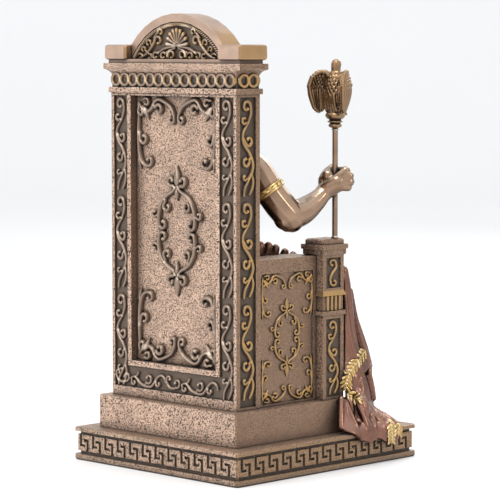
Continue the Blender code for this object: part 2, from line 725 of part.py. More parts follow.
def draw_small_corner(scrolls):
    """Corner scrolls of the arm panel, fewer strokes than the back's."""
    scrolls.stroke([(6.0, 4.6), (20.0, 3.0), (29.6, 7.0), (25.0, 13.0)])
    scrolls.stroke([(3.6, 8.0), (3.0, 24.0), (9.0, 31.0)])


def draw_small_cartouche(scrolls, middle, scale):
    """Oval of scrolls for the arm panels."""
    for side in (1, -1):
        for rise in (1, -1):
            scrolls.at((side * scale[0], rise * scale[1]), middle)
            scrolls.stroke([(2.4, 21.6), (9.4, 20.2), (14.6, 10.0), (10.0, 2.2)])
    for rise in (1, -1):
        scrolls.at((scale[0], rise * scale[1]), middle)
        scrolls.bud((0.0, 29.0), 2.6, 6.0)


def draw_post_hook(scrolls):
    """S-scroll on the post's upper panel."""
    scrolls.stroke([(2.9, -9.0), (-1.6, -16.0), (-2.6, -20.0)], start=((-0.8, -4.8), 3.6, 20, 240),
                   end=((1.0, -22.6), 3.2, 240, 210))


def draw_tongues(scrolls):
    """Short upright tongues between the post's two bands."""
    low = TONGUE_BAND_Z + 2.4
    high = TONGUE_BAND_Z + TONGUE_BAND_HEIGHT - 2.4
    scrolls.at((1.0, 1.0), (0.0, 0.0))
    pitch = (POST_DEPTH - 2.0) / TONGUES
    for i in range(TONGUES):
        at = (i - (TONGUES - 1) / 2) * pitch
        outline = ((at - 0.9, low), (at + 0.9, low), (at + 1.2, high), (at - 1.2, high))
        prism_into(scrolls.builder, outline, scrolls.place, -0.8, POST_PANEL_DEPTH + 0.3)


def carve_frieze(body):
    """Overlapping rings round the hollow of the cornice."""
    middle_z = FRIEZE_FOOT + FRIEZE_HEIGHT / 2
    middle_y = (BACK_REAR_Y + BACK_FRONT_Y) / 2
    pitch = (BACK_WIDTH - 2.0) / RING_COUNT_BACK
    walls = [(RING_COUNT_BACK, (0, BACK_REAR_Y - FRIEZE_SET_IN, middle_z), (-1, 0, 0), (0, 1, 0))]
    for side in (-1, 1):
        walls.append((RING_COUNT_SIDE, (side * (BACK_WIDTH / 2 - FRIEZE_SET_IN), middle_y, middle_z),
                      (0, side, 0), (side, 0, 0)))
    for count, origin, across, outward in walls:
        rings = Scrolls(panel_frame(origin, across, outward), height=1.3, width=RING_STRAND / 2)
        for i in range(count):
            at = (i - (count - 1) / 2) * pitch
            ring_into(rings, (at, 0.0), (pitch / 2 - 0.25, RING_HEIGHT / 2 - 0.2))
        rings.carve_on(body)


def ring_into(scrolls, middle, radii):
    """Raised oval ring with a ridge section."""
    sides = 6
    reach = scrolls.width
    section = ((0.0, -SKIRT), (0.0, 0.0), (-reach, scrolls.height), (-2 * reach, 0.0), (-2 * reach, -SKIRT))
    loops = []
    for offset, rise in section:
        loop = []
        for i in range(sides):
            angle = 2 * math.pi * i / sides
            x = middle[0] + (radii[0] + offset) * math.cos(angle)
            y = middle[1] + (radii[1] + offset) * math.sin(angle)
            loop.append(scrolls.builder.verts.new(scrolls.place @ Vector((x, y, rise))))
        loops.append(loop)
    count = len(loops)
    for i in range(count):
        near, far = loops[i], loops[(i + 1) % count]
        for j in range(sides):
            k = (j + 1) % sides
            scrolls.builder.faces.new((near[j], near[k], far[k], far[j]))


def make_throne():
    body = throne_body()
    sink_panels(body)
    add_cornice_blocks(body)
    add_arch(body)
    carve_frieze(body)
    carve_back(body)
    carve_sides(body)
    return body


# Rounded forms for the figure and the eagle

def tube_into(builder, route, sides=12, squash=1.0, squash_axis=(0, 0, 1)):
    """Round limb through (x, y, z, radius) points, closed by rounded ends."""
    centres = spline([point[:3] for point in route], 2.4)
    sizes = spline([(i, point[3], 0) for i, point in enumerate(route)], 0.1)
    count = len(centres)
    radii = [sizes[round(i * (len(sizes) - 1) / (count - 1))].y for i in range(count)]
    first = (centres[1] - centres[0]).normalized()
    last = (centres[-1] - centres[-2]).normalized()
    stations = []
    for back in (0.95, 0.6):
        stations.append((centres[0] - first * radii[0] * back, radii[0] * math.sqrt(1 - back * back)))
    stations += list(zip(centres, radii))
    for ahead in (0.6, 0.95):
        stations.append((centres[-1] + last * radii[-1] * ahead, radii[-1] * math.sqrt(1 - ahead * ahead)))
    flat = Vector(squash_axis).normalized()
    side = first.orthogonal().normalized()
    loops = []
    for i, (centre, radius) in enumerate(stations):
        ahead = stations[min(i + 1, len(stations) - 1)][0]
        behind = stations[max(i - 1, 0)][0]
        along = (ahead - behind).normalized()
        side = (side - along * side.dot(along)).normalized()
        other = along.cross(side)
        loop = []
        for j in range(sides):
            angle = 2 * math.pi * j / sides
            reach = (side * math.cos(angle) + other * math.sin(angle)) * radius
            reach -= flat * reach.dot(flat) * (1 - squash)
            loop.append(builder.verts.new(centre + reach))
        loops.append(loop)
    for near, far in zip(loops, loops[1:]):
        for j in range(sides):
            k = (j + 1) % sides
            builder.faces.new((near[j], near[k], far[k], far[j]))
    builder.faces.new(list(reversed(loops[0])))
    builder.faces.new(loops[-1])


def blob_into(builder, middle, radii, tilt=(0, 0, 0)):
    """Ellipsoid, tilted by degrees about X, Y and Z."""
    turn = Matrix.Rotation(math.radians(tilt[2]), 4, "Z")
    turn = turn @ Matrix.Rotation(math.radians(tilt[1]), 4, "Y")
    turn = turn @ Matrix.Rotation(math.radians(tilt[0]), 4, "X")
    place = Matrix.Translation(Vector(middle)) @ turn @ Matrix.Diagonal((*radii, 1.0))
    bmesh.ops.create_icosphere(builder, subdivisions=3, radius=1.0, matrix=place)


def melt(item, voxel, smoothing, triangles):
    """Fuse the overlapping forms, soften them and thin the mesh to a number of triangles."""
    fuse = item.modifiers.new("fuse", "REMESH")
    fuse.mode = "VOXEL"
    fuse.voxel_size = voxel
    soften = item.modifiers.new("soften", "SMOOTH")
    soften.factor = 0.5
    soften.iterations = smoothing
    apply_modifiers(item)
    thin = item.modifiers.new("thin", "DECIMATE")
    count = sum(len(face.vertices) - 2 for face in item.data.polygons)
    thin.ratio = min(1.0, triangles / count)
    thin.use_collapse_triangulate = True
    apply_modifiers(item)


def sheet_into(builder, rows, thick, step=2.0):
    """Cloth of even thickness through rows of points, each row spread along its own curve."""
    lines = [spline(row, step) for row in rows]
    count = max(len(line) for line in lines)
    even = []
    for line in lines:
        even.append([line[round(i * (len(line) - 1) / (count - 1))] for i in range(count)])
    columns = [spline([line[i] for line in even], step) for i in range(count)]
    height = max(len(column) for column in columns)
    grid = []
    for column in columns:
        grid.append([column[round(j * (len(column) - 1) / (height - 1))] for j in range(height)])
    sides = []
    for push in (-thick / 2, thick / 2):
        layer = []
        for i in range(count):
            strip = []
            for j in range(height):
                over = grid[min(i + 1, count - 1)][j] - grid[max(i - 1, 0)][j]
                down = grid[i][min(j + 1, height - 1)] - grid[i][max(j - 1, 0)]
                strip.append(builder.verts.new(grid[i][j] + over.cross(down).normalized() * push))
            layer.append(strip)
        sides.append(layer)
    near, far = sides
    for i in range(count - 1):
        for j in range(height - 1):
            builder.faces.new((near[i][j], near[i + 1][j], near[i + 1][j + 1], near[i][j + 1]))
            builder.faces.new((far[i][j], far[i][j + 1], far[i + 1][j + 1], far[i + 1][j]))
    border = [(i, 0) for i in range(count)] + [(count - 1, j) for j in range(1, height)]
    border += [(i, height - 1) for i in range(count - 2, -1, -1)]
    border += [(0, j) for j in range(height - 2, 0, -1)]
    for a, b in zip(border, border[1:] + border[:1]):
        builder.faces.new((near[a[0]][a[1]], far[a[0]][a[1]], far[b[0]][b[1]], near[b[0]][b[1]]))


# Figure

def torso_into(builder):
    """Bare chest, belly, shoulders and neck of a strong seated man, leaning back a little."""
    blob_into(builder, (0, 20, 108), (25, 19, 15))
    blob_into(builder, (0, 21, 128), (19, 13, 17))
    blob_into(builder, (0, 20, 150), (23, 14, 20))
    for side in (-1, 1):
        blob_into(builder, (side * 10, 10.5, 165), (12, 6, 8.5), (12, 0, side * 8))
        blob_into(builder, (side * 13, 29, 162), (11, 6, 16))
        blob_into(builder, (side * 25, 25, 174), (9, 10, 9.5))
        tube_into(builder, [(side * 6, 25, 189, 5.5), (side * 18, 26, 181, 6.5), (side * 26, 26, 176, 7)])
        for row in range(3):
            blob_into(builder, (side * 5.2, 9.4 - row * 0.4, 150 - row * 9.5), (5, 3, 4.6))
    blob_into(builder, (0, 26, 176), (18, 9, 10))
    tube_into(builder, [(0, 23, 180, 8.5), (0, 19, 190, 8), (0, 16, 200, 8)])


def right_arm_into(builder):
    """Bent arm that holds the sceptre."""
    tube_into(builder, [(-25, 26, 176, 9), (-32, 23, 170.4, 9.2), (-38, 19.2, 160, 9),
                        (-42, 13.7, 151.1, 9),
                        (-44.6, 10.2, 146, 9.2), (-45, 9.4, 144.4, 8.8)])
    blob_into(builder, (-44.2, 12.4, 143.2), (6.6, 6.6, 6))
    tube_into(builder, [(-45, 8.4, 145.4, 8.6), (-46.2, 0.4, 147.6, 8.3), (-47.4, -5.6, 151, 7),
                        (ROD_X + 3.9, ROD_Y + 9.6, 154.6, 5.7), (ROD_X + 2.6, ROD_Y + 5.3, 158.8, 4.7)])


def fist_into(builder):
    """Right hand closed round the sceptre, back of the hand outward, knuckles forward."""
    rod = Vector((ROD_X, ROD_Y, 0))
    outward = Vector((-0.705, 0.709, 0))
    forward = Vector((-0.7096, -0.7046, 0))

    def at(ahead, out, height, radius):
        point = rod + forward * ahead + outward * out
        return (point.x, point.y, height, radius)

    tube_into(builder, [at(-7.6, 1.6, 157.0, 4.7), at(-3.4, 3.0, 160.4, 4.6), at(1.4, 3.6, 163.4, 4.6)],
              squash=1.2)
    knuckles = ((6.0, 170.8, 2.5), (8.0, 167.6, 2.7), (8.4, 164.0, 2.6), (7.2, 160.8, 2.3))
    for i, (ahead, height, radius) in enumerate(knuckles):
        tube_into(builder, [at(-5.4, 2.6, 159.4 + (1.5 - i) * 0.9, 2.6),
                            at(1.0, 4.0, (height + 161.5) / 2, 2.7),
                            at(ahead, 3.2, height, radius)], sides=10)
        tube_into(builder, [at(ahead, 3.2, height, radius),
                            at(ahead + 0.3, -1.4, height - 0.3, radius * 0.94),
                            at(ahead - 4.0, -4.4, height - 0.5, radius * 0.9),
                            at(-1.6, -4.2, height - 0.7, radius * 0.86),
                            at(-3.4, -2.4, height - 0.7, radius * 0.8)],
                  sides=10)
    tube_into(builder, [at(-6.4, 0.6, 160, 3.2), at(-7.0, -1.6, 165.4, 2.7), at(-4.4, -4.0, 169.6, 2.4),
                        at(-1.2, -4.9, 172.2, 2.1)], sides=10)


def left_arm_into(builder):
    """Arm that rests along the throne's arm, hand over its end."""
    tube_into(builder, [(25, 25, 176, 9), (35, 24, 165, 9), (45, 22, 151, 8.6), (49.4, 20, 144.6, 7.6)])
    tube_into(builder, [(49.6, 20, 144.4, 7.6), (51, 10, 142, 7.4), (50, -2, 139.6, 5.6),
                        (48.6, -9, 137.4, 4.4)])
    blob_into(builder, (47.8, -14.5, 135.4), (5.2, 6.8, 3.6))
    for i in range(4):
        x = 43.6 + i * 2.9
        tube_into(builder, [(x, -17, 136, 1.8), (x, -22.4, 135.6, 1.7), (x, -26.4, 132.6, 1.5)], sides=8)
    tube_into(builder, [(43.4, -11, 135.4, 1.9), (40.4, -15.4, 134, 1.7)], sides=8)


def legs_into(builder):
    """Right leg forward and out, left leg drawn in, both feet in sandals."""
    tube_into(builder, [(-16, 14, 104, 14), (-27, -10, 104, 13), (-35, -30, 104, 10.6)])
    tube_into(builder, [(-35, -30.5, 104, 9.6), (-36.6, -35.4, 88, 9.2), (-38.6, -41.6, 66, 8),
                        (-42, -48.4, 42, 5.8), (-43, -50, 31, 5.6)])
    tube_into(builder, [(-43, -45, 25.4, 5.6), (-44.6, -55, 25.4, 5.6), (-46.2, -63.6, 23.6, 4.6),
                        (-47, -67.6, 22.8, 3.4)], squash=0.85)
    tube_into(builder, [(15, 14, 104, 14), (20, -10, 104, 13.4), (23, -29, 104, 11)])
    tube_into(builder, [(23, -30, 104, 10), (23.6, -35, 86, 9.6), (24, -37, 64, 8.2),
                        (24, -37.6, 42, 5.8), (24, -37.6, 31, 5.6)])
    tube_into(builder, [(24, -33.6, 25.4, 5.6), (25, -44, 25, 5.8), (26, -55, 23.4, 4.6),
                        (26.6, -59, 22.6, 3.2)], squash=0.85)
    for heel, toe in (((-43, -45), (-47.2, -69)), ((24, -33.6), (26.8, -59.8))):
        middle = ((heel[0] + toe[0]) / 2 - 0.6, (heel[1] + toe[1]) / 2)
        tube_into(builder, [(*heel, 21.4, 4.6), (*middle, 21.4, 5.8), (*toe, 21.4, 4.2)], squash=0.36)


def mantle_into(builder):
    """Mantle over the hips and thighs with folds between the knees."""
    blob_into(builder, (0, 18, 106), (28.5, 21, 15))
    tube_into(builder, [(-15, 12, 105, 15.4), (-27, -10, 106, 14.2), (-35, -29.6, 105.2, 11.4)])
    tube_into(builder, [(15, 12, 105, 15.4), (20, -10, 105.6, 14.4), (23, -29, 105.4, 12)])
    tube_into(builder, [(23, -29, 104, 11.6), (23.4, -34, 84, 11), (23.6, -35, 62, 10.4),
                        (23.6, -34, 46, 9.6)])
    for i in range(6):
        share = i / 5
        x = -26 + 40 * share
        drop_to = 66 - 22 * math.sin(math.pi * share)
        tube_into(builder, [(x, -20 - 6 * math.sin(math.pi * share), 104, 5.2),
                            (x + 1, -31, 88, 4.2), (x + 2, -33, drop_to, 3.4)], sides=10)
    for i in range(4):
        share = i / 3
        tube_into(builder, [(-25, 4 - 22 * share, 121 - 3 * share, 2.2),
                            (0, -2 - 22 * share, 108 - 2 * share, 2.6),
                            (21, 2 - 22 * share, 119 - 3 * share, 2.2)], sides=8)
    hip_folds = ((14.5, 127.5, 3.6), (8, 127, 3.4), (2, 125.4, 3.2), (-5.6, 122.6, 3.2),
                 (-12.5, 120.6, 3.0))
    for y, top, radius in hip_folds:
        tube_into(builder, [(-26.4, y, top, radius * 0.8), (-24, y + 1, top - 9, radius),
                            (-18, y + 2, 108, radius)],
                  sides=8)
    tube_into(builder, [(22, 6, 124, 6), (6, 2, 118, 6), (-12, 3, 116, 6.4), (-24, 10, 117, 6)])


def shoulder_cloth_into(builder):
    """Two long folds from the left shoulder down to the hip."""
    tube_into(builder, [(27, 31, 176, 5), (20, 12, 170, 5), (21, 6, 150, 5.4), (22, 6, 128, 6),
                        (20, 8, 112, 7)])
    tube_into(builder, [(20, 31, 182, 4.6), (13, 12, 174, 4.4), (15, 6, 150, 4.8), (17, 5, 126, 5.6)])


def fall_into(builder):
    """Cloth that falls from the right knee; its hem runs slantwise over the shin."""
    sheet_into(builder, [
        [(-47, -20, 116), (-46.5, -26, 118), (-43.5, -32, 117), (-37, -36.5, 115), (-29, -37.5, 112)],
        [(-52, -27, 108), (-51, -31, 108), (-47.4, -36, 108), (-40, -41, 107), (-30, -42, 105)],
        [(-53, -26.8, 96), (-52.2, -32, 96), (-48.2, -37.4, 96), (-41, -43, 95), (-30.4, -44, 93)],
        [(-53.4, -26.8, 84), (-53.4, -33, 83), (-48.6, -39.6, 82), (-42, -44.8, 81), (-31, -45.6, 79)],
        [(-53.8, -26.8, 72), (-54.8, -34, 71), (-50.4, -41.4, 71), (-43.2, -48, 70), (-32, -48, 68)],
        [(-54, -26.8, 62), (-56.6, -35, 61), (-52.2, -45.6, 62.6), (-44.4, -52.4, 62), (-33, -51, 60)],
        [(-54.2, -26.8, 50), (-57.6, -36.4, 50.4), (-54, -48.8, 56), (-46, -55.6, 56), (-34, -53.4, 54)],
    ], 2.6)
    sheet_into(builder, [
        [(-54, -26.8, 54), (-56.6, -33, 52), (-57, -39, 50), (-54, -46, 50)],
        [(-54.4, -27.2, 47), (-58, -32, 44), (-58.4, -40, 42), (-55.6, -48, 40)],
        [(-54.6, -27, 39.4), (-58.6, -31, 36), (-58.8, -40, 33), (-56, -49, 30)],
        [(-55, -27, 33), (-58.8, -31, 30), (-58.8, -40, 28), (-56, -49, 26)],
    ], 2.6)
    tube_into(builder, [(-50, -30, 112, 3), (-51.6, -31.6, 96, 3.2), (-52, -33, 80, 3.6),
                        (-53, -36, 62, 4.2),
                        (-54, -38, 46, 4.2)], sides=10)
    tube_into(builder, [(-47, -40, 76, 4), (-50, -45, 64, 4.2), (-51.8, -47.6, 54, 4),
                        (-51.8, -47.8, 42, 3.6),
                        (-52.6, -49, 30, 3.4), (-53.6, -50.6, 24, 3.6)], sides=10)
    tube_into(builder, [(-42, -45, 72, 5), (-45, -50, 54, 5.4), (-46, -51.6, 40, 5),
                        (-46.6, -52, 30, 4.6)], sides=10)
    tube_into(builder, [(-55.6, -33, 50, 3.4), (-56.6, -36, 42, 3.2), (-55.8, -40, 34, 3.6)], sides=10)
    tube_into(builder, [(-55, -37, 47, 3), (-56.6, -41, 42.6, 2.6), (-54.6, -46.4, 38, 2.6)], sides=10)


def pool_into(builder):
    """Folded cloth on the plinth beside the right foot; its hem hangs over the plinth's edge."""
    edge = -PLINTH_WIDTH / 2
    wall = -PEDESTAL_WIDTH / 2

    def over(share):
        """Across the plinth's rim, from the pedestal's wall to the plinth's edge."""
        return wall + (edge - wall) * share

    sheet_into(builder, [
        [(over(0.16), -18.6, 39.4), (over(0.41), -16, 30), (over(0.6), -13.6, 24), (over(0.8), -14, 21.4)],
        [(over(0.17), -22.6, 38), (over(0.5), -21, 29), (edge + 0.6, -19.4, 21.9),
         (edge - 1.4, -20.2, 18.6)],
        [(-58.6, -27.6, 36), (-61.4, -27.4, 25.6), (edge + 0.2, -26.4, 21.7), (edge - 1.7, -26.8, 14.4)],
        [(-58, -33.4, 38), (-63, -33.6, 30), (edge - 0.2, -33.6, 22.6), (edge - 1.9, -33.4, 13.8)],
        [(-57, -39.6, 34), (-60.6, -39.8, 24.6), (edge + 0.2, -39.4, 21.3), (edge - 1.1, -39.4, 14.8)],
        [(-56, -45, 32), (-61.4, -45.4, 27.4), (edge - 0.2, -45, 22.6), (edge - 2.1, -44.8, 12.2)],
        [(-55, -50.4, 29), (-60.8, -51, 25.6), (edge - 0.2, -51.4, 22), (edge - 2.1, -51, 9.8)],
        [(-54.6, -55, 26), (-60.4, -56, 24), (edge, -57.4, 21.8), (edge - 1.7, -57, 13.8)],
        [(-55, -59, 23), (-60, -60, 22), (edge + 1.6, -60.6, 21.2), (edge - 0.3, -60.4, 19.6)],
    ], 2.6)
    tube_into(builder, [(-57.8, -33, 41, 3.4), (-61, -33.6, 35, 4.6), (-62, -34, 28, 4.8),
                        (-61, -35, 23, 4)], sides=10)
    tube_into(builder, [(over(0.16), -19, 39, 1.8), (over(0.43), -15.8, 31, 1.8),
                        (over(0.63), -13.6, 23.6, 1.8)],
              sides=8)
    tube_into(builder, [(-56, -40, 36, 3.4), (-60.4, -42, 29, 3.6), (-64.4, -44, 24.4, 2.8)], sides=10)
    tube_into(builder, [(-54.6, -46, 30, 4), (-58.6, -51, 25.4, 4), (-63.6, -55, 23, 2.8)], sides=10)
    tube_into(builder, [(-58, -26, 30, 3.6), (-56, -34, 28, 5), (-53, -44, 26.4, 5.4)], sides=10)


def head_into(builder):
    """Bearded head with curls, brows, nose and a laurel wreath."""
    blob_into(builder, (0, 16, 216), (12, 14, 15.5))
    blob_into(builder, (0, 8, 208), (8.6, 8, 9))
    tube_into(builder, [(0, 2.6, 218.6, 1.4), (0, 0.2, 214, 1.7), (0, -1.2, 210.8, 2)], sides=8)
    for side in (-1, 1):
        tube_into(builder, [(side * 1.6, 2.6, 219, 1.5), (side * 5, 2.8, 220.2, 1.5),
                            (side * 8.6, 6, 218.4, 1.4)], sides=8)
        blob_into(builder, (side * 4.8, 5.4, 212.4), (3.6, 3.4, 3.4))
        tube_into(builder, [(side * 0.6, 1.2, 207.6, 1.5), (side * 4.4, 2.2, 206, 1.6),
                            (side * 6.4, 3.6, 202.6, 1.3)], sides=8)
    rows = 5
    for row in range(rows):
        height = 207 - row * 3.8
        half_turn = 74 - row * 7
        reach = 10.2 - row * 1.1
        count = 7 - row
        for i in range(count):
            angle = math.radians(-half_turn + 2 * half_turn * i / max(1, count - 1))
            lift = 3.0 * (math.sin(angle) ** 2) if row == 0 else 0.0
            blob_into(builder, (reach * math.sin(angle), 9 - reach * math.cos(angle), height + lift - 1),
                      (2.5, 2.5, 3.1))
    rings = ((231.5, 6.0, 7), (227.5, 10.4, 12), (221.5, 12.4, 14), (215.0, 12.8, 14), (208.5, 12.4, 13))
    for k, (height, reach, count) in enumerate(rings):
        for i in range(count):
            angle = 2 * math.pi * (i + 0.5 * (k % 2)) / count
            forward = -math.cos(angle)
            if height < 222 and forward < -0.35:
                continue
            blob_into(builder, (reach * math.sin(angle), 16.5 + 1.12 * reach * forward, height),
                      (2.9, 2.9, 3.0))
    leaves = 18
    for i in range(leaves):
        angle = 2 * math.pi * i / leaves
        x = 13.4 * math.sin(angle)
        y = 16.5 - 14.8 * math.cos(angle)
        blob_into(builder, (x, y, 225.2), (1.3, 3.4, 2.0), (0, 18, math.degrees(angle) + 90))


def make_figure():
    """The whole figure as one soft form, cleared from the throne, the plinth and the rod."""
    builder = bmesh.new()
    for form in (torso_into, right_arm_into, fist_into, left_arm_into, legs_into, mantle_into,
                 shoulder_cloth_into, fall_into, pool_into, head_into):
        form(builder)
    figure = new_object("figure", builder)
    melt(figure, FIGURE_VOXEL, 3, FIGURE_TRIANGLES)
    combine(figure, figure_clearance(), "DIFFERENCE")
    return figure


def part_of_figure(figure, name, inside, outside=()):
    """The share of the figure that lies in one box and clear of others."""
    share = bpy.data.objects.new(name, figure.data.copy())
    bpy.context.scene.collection.objects.link(share)
    combine(share, box_object("inside", [inside]), "INTERSECT")
    for low, high in outside:
        combine(share, box_object("outside", [(low, high)]), "DIFFERENCE")
    return share


def make_figure_parts():
    """The figure parted by the fit gap at its waist, shoulders and knees, so that open spaces stay open."""
    figure = make_figure()
    past = 300.0
    half = FIT_GAP / 2
    side = SHOULDER_CUT_X
    left_arm = ((side + half, -past, LEFT_HAND_CUT_Z + half), (past, past, past))
    cloth = ((-past, CLOTH_CUT_FRONT_Y, 0.0), (CLOTH_CUT_X - half, CLOTH_CUT_REAR_Y, CLOTH_CUT_TOP_Z))
    gap = Vector((FIT_GAP, FIT_GAP, FIT_GAP))
    taken = [(Vector(low) - gap, Vector(high) + gap) for low, high in (left_arm, cloth)]
    lap = ((-past, -past, KNEE_CUT_Z + half), (past, past, WAIST_CUT_Z - half))
    right_leg = ((-past, -past, 0.0), (LEGS_CUT_X - half, past, KNEE_CUT_Z - half))
    left_leg = ((LEGS_CUT_X + half, -past, 0.0), (past, past, KNEE_CUT_Z - half))
    shares = [
        part_of_figure(figure, "torso_and_head",
                       ((half - side, -past, WAIST_CUT_Z + half), (side - half, past, past))),
        part_of_figure(figure, "right_arm", ((-past, -past, WAIST_CUT_Z + half),
                                             (-side - half, past, past))),
        part_of_figure(figure, "left_arm", left_arm),
        part_of_figure(figure, "lap_cloth", lap, taken),
        part_of_figure(figure, "right_leg", right_leg, taken[1:]),
        part_of_figure(figure, "left_leg", left_leg),
        part_of_figure(figure, "fallen_cloth", cloth),
    ]
    drop(figure)
    return shares


def figure_clearance():
    """Throne, plinth and rod walls, each grown by the fit gap, that the figure must clear."""
    gap = FIT_GAP
    arm_inner = ARM_OUTER_X - ARM_WIDTH - gap
    seat_half = POST_OUTER_X - POST_WIDTH + 1.0
    half_x = PLINTH_WIDTH / 2 + gap
    half_y = PLINTH_DEPTH / 2 + gap
    boxes = [
        ((-half_x, -half_y, -1), (half_x, half_y, PLINTH_TOP + gap)),
        ((-PEDESTAL_WIDTH / 2 - gap, PEDESTAL_FRONT_Y - gap, 0),
         (PEDESTAL_WIDTH / 2 + gap, PEDESTAL_BACK_Y, PEDESTAL_TOP + gap)),
        ((-seat_half, SEAT_FRONT_Y - gap, PEDESTAL_TOP), (seat_half, BACK_FRONT_Y + 1, SEAT_TOP_Z + gap)),
        ((-BACK_WIDTH / 2, BACK_FRONT_Y - gap, PEDESTAL_TOP), (BACK_WIDTH / 2, BACK_REAR_Y,
                                                               BLOCK_TOP + 20)),
    ]
    grow = 1.1 + gap
    for side in (-1, 1):
        outer = side * (ARM_OUTER_X + gap)
        boxes.append(((min(side * arm_inner, outer), ARM_FRONT_Y - 2, PEDESTAL_TOP),
                      (max(side * arm_inner, outer), BACK_FRONT_Y, ARM_TOP_Z + gap)))
        near = side * (POST_OUTER_X - POST_WIDTH - grow)
        far = side * (POST_OUTER_X + grow)
        boxes.append(((min(near, far), POST_FRONT_Y - grow, PEDESTAL_TOP),
                      (max(near, far), POST_REAR_Y + grow, POST_SHAFT_TOP + CAP_NECK_HEIGHT)))
        near = side * (POST_OUTER_X - POST_WIDTH - CAP_FLARE - gap)
        far = side * (POST_OUTER_X + CAP_FLARE + gap)
        boxes.append(((min(near, far), POST_FRONT_Y - CAP_FLARE - gap, POST_SHAFT_TOP),
                      (max(near, far), POST_REAR_Y + CAP_FLARE + gap, CAP_TOP - CAP_BLOCK_HEIGHT + gap)))
        near = side * (POST_OUTER_X - POST_WIDTH - gap)
        far = side * (POST_OUTER_X + gap)
        boxes.append(((min(near, far), POST_FRONT_Y - gap, POST_SHAFT_TOP),
                      (max(near, far), POST_REAR_Y + gap, CAP_TOP + gap)))
    clearance = box_object("clearance", boxes[:1])
    for low, high in boxes[1:]:
        combine(clearance, box_object("wall", [(low, high)]), "UNION")
    builder = bmesh.new()
    place = Matrix.Translation((ROD_X, ROD_Y, (CAP_TOP + EAGLE_FOOT_Z) / 2))
    reach = ROD_RADIUS + FIT_GAP + 0.1
    bmesh.ops.create_cone(builder, cap_ends=True, segments=ROD_SIDES, radius1=reach, radius2=reach,
                          depth=EAGLE_FOOT_Z - CAP_TOP + 2, matrix=place)
    combine(clearance, new_object("rod_hole", builder), "UNION")
    return clearance


# Sceptre

def make_rod():
    """Plain round rod that stands on the right post's cap."""
    foot = CAP_TOP + FIT_GAP
    head = EAGLE_FOOT_Z - FIT_GAP
    builder = bmesh.new()
    place = Matrix.Translation((ROD_X, ROD_Y, (foot + head) / 2))
    bmesh.ops.create_cone(builder, cap_ends=True, segments=ROD_SIDES, radius1=ROD_RADIUS,
                          radius2=ROD_RADIUS, depth=head - foot, matrix=place)
    return new_object("sceptre_rod", builder)


def eagle_point(x, y, up):
    """A place on the eagle, from the middle of its foot on the sceptre's axis."""
    return Vector((ROD_X + x, ROD_Y + y, EAGLE_FOOT_Z + up))


def eagle_tube(builder, route, sides=12, squash=1.0):
    places = [(*eagle_point(x, y, up), radius) for x, y, up, radius in route]
    tube_into(builder, places, sides=sides, squash=squash)


def wing_rows(side):
    """Rows of points over a half-raised wing, from its top edge to its feather tips."""
    rows = (((4.2, -0.4, 30.4), (8.0, -0.8, 33.0), (10.2, 3.4, 33.0), (11.8, 7.0, 29.6)),
            ((5.0, 0.6, 25.0), (10.2, -1.8, 25.0), (12.6, 3.0, 25.4), (13.0, 8.4, 24.2)),
            ((4.8, 1.6, 19.0), (9.8, -0.6, 17.6), (11.8, 3.4, 17.2), (12.2, 7.6, 17.6)),
            ((4.6, 2.6, 15.0), (8.4, 1.0, 10.2), (9.8, 3.6, 8.8), (10.8, 6.2, 11.2)))
    return [[eagle_point(side * x, y, up) for x, y, up in row] for row in rows]


def eagle_into(builder):
    """Eagle with half-raised wings, looking forward, on a turned knob."""
    for up, radius, thick in ((1.7, 4.0, 1.9), (3.8, 4.7, 1.2), (7.4, 5.8, 3.1)):
        blob_into(builder, eagle_point(0, 0, up), (radius, radius, thick))
    eagle_tube(builder, [(0, 0, 9, 4.2), (0, -0.6, 16, 5.2), (0, -0.8, 24, 5.6), (0, -0.6, 30, 4.4),
                         (0, -0.4, 34.4, 3.2), (0, -0.8, 36.8, 3.3)])
    eagle_tube(builder, [(2.0, -2.6, 37.4, 1.6), (3.8, -4.2, 37, 1.2), (4.6, -5, 35.6, 0.8)], sides=8)
    for side in (-1, 1):
        sheet_into(builder, wing_rows(side), 2.2)
        eagle_tube(builder, [(side * 3.4, 0, 29, 2.6), (side * 8, -0.4, 31.8, 2),
                             (side * 10.2, 3.4, 31.8, 1.7)],
                   sides=8)
        eagle_tube(builder, [(side * 2.4, -1.6, 14, 2.6), (side * 2.6, -2, 9.8, 2)], sides=8)
    eagle_tube(builder, [(0, 2.4, 20, 3), (0, 2.8, 15, 3.6), (0, 2.4, 10.6, 3.2)])


def make_eagle():
    """Eagle cut flat under its knob."""
    builder = bmesh.new()
    eagle_into(builder)
    eagle = new_object("eagle", builder)
    melt(eagle, 0.55, 2, EAGLE_TRIANGLES)
    foot = EAGLE_FOOT_Z
    below = ((ROD_X - 20, ROD_Y - 20, foot - 20), (ROD_X + 20, ROD_Y + 20, foot))
    combine(eagle, box_object("below", [below]), "DIFFERENCE")
    return eagle


# Materials and finish

def paint(item, colour, roughness, metallic):
    """Give the object its own Principled material."""
    material = bpy.data.materials.new(item.name + "_bronze")
    material.use_nodes = True
    shader = material.node_tree.nodes["Principled BSDF"]
    shader.inputs["Base Color"].default_value = (*colour, 1.0)
    shader.inputs["Roughness"].default_value = roughness
    shader.inputs["Metallic"].default_value = metallic
    item.data.materials.clear()
    item.data.materials.append(material)


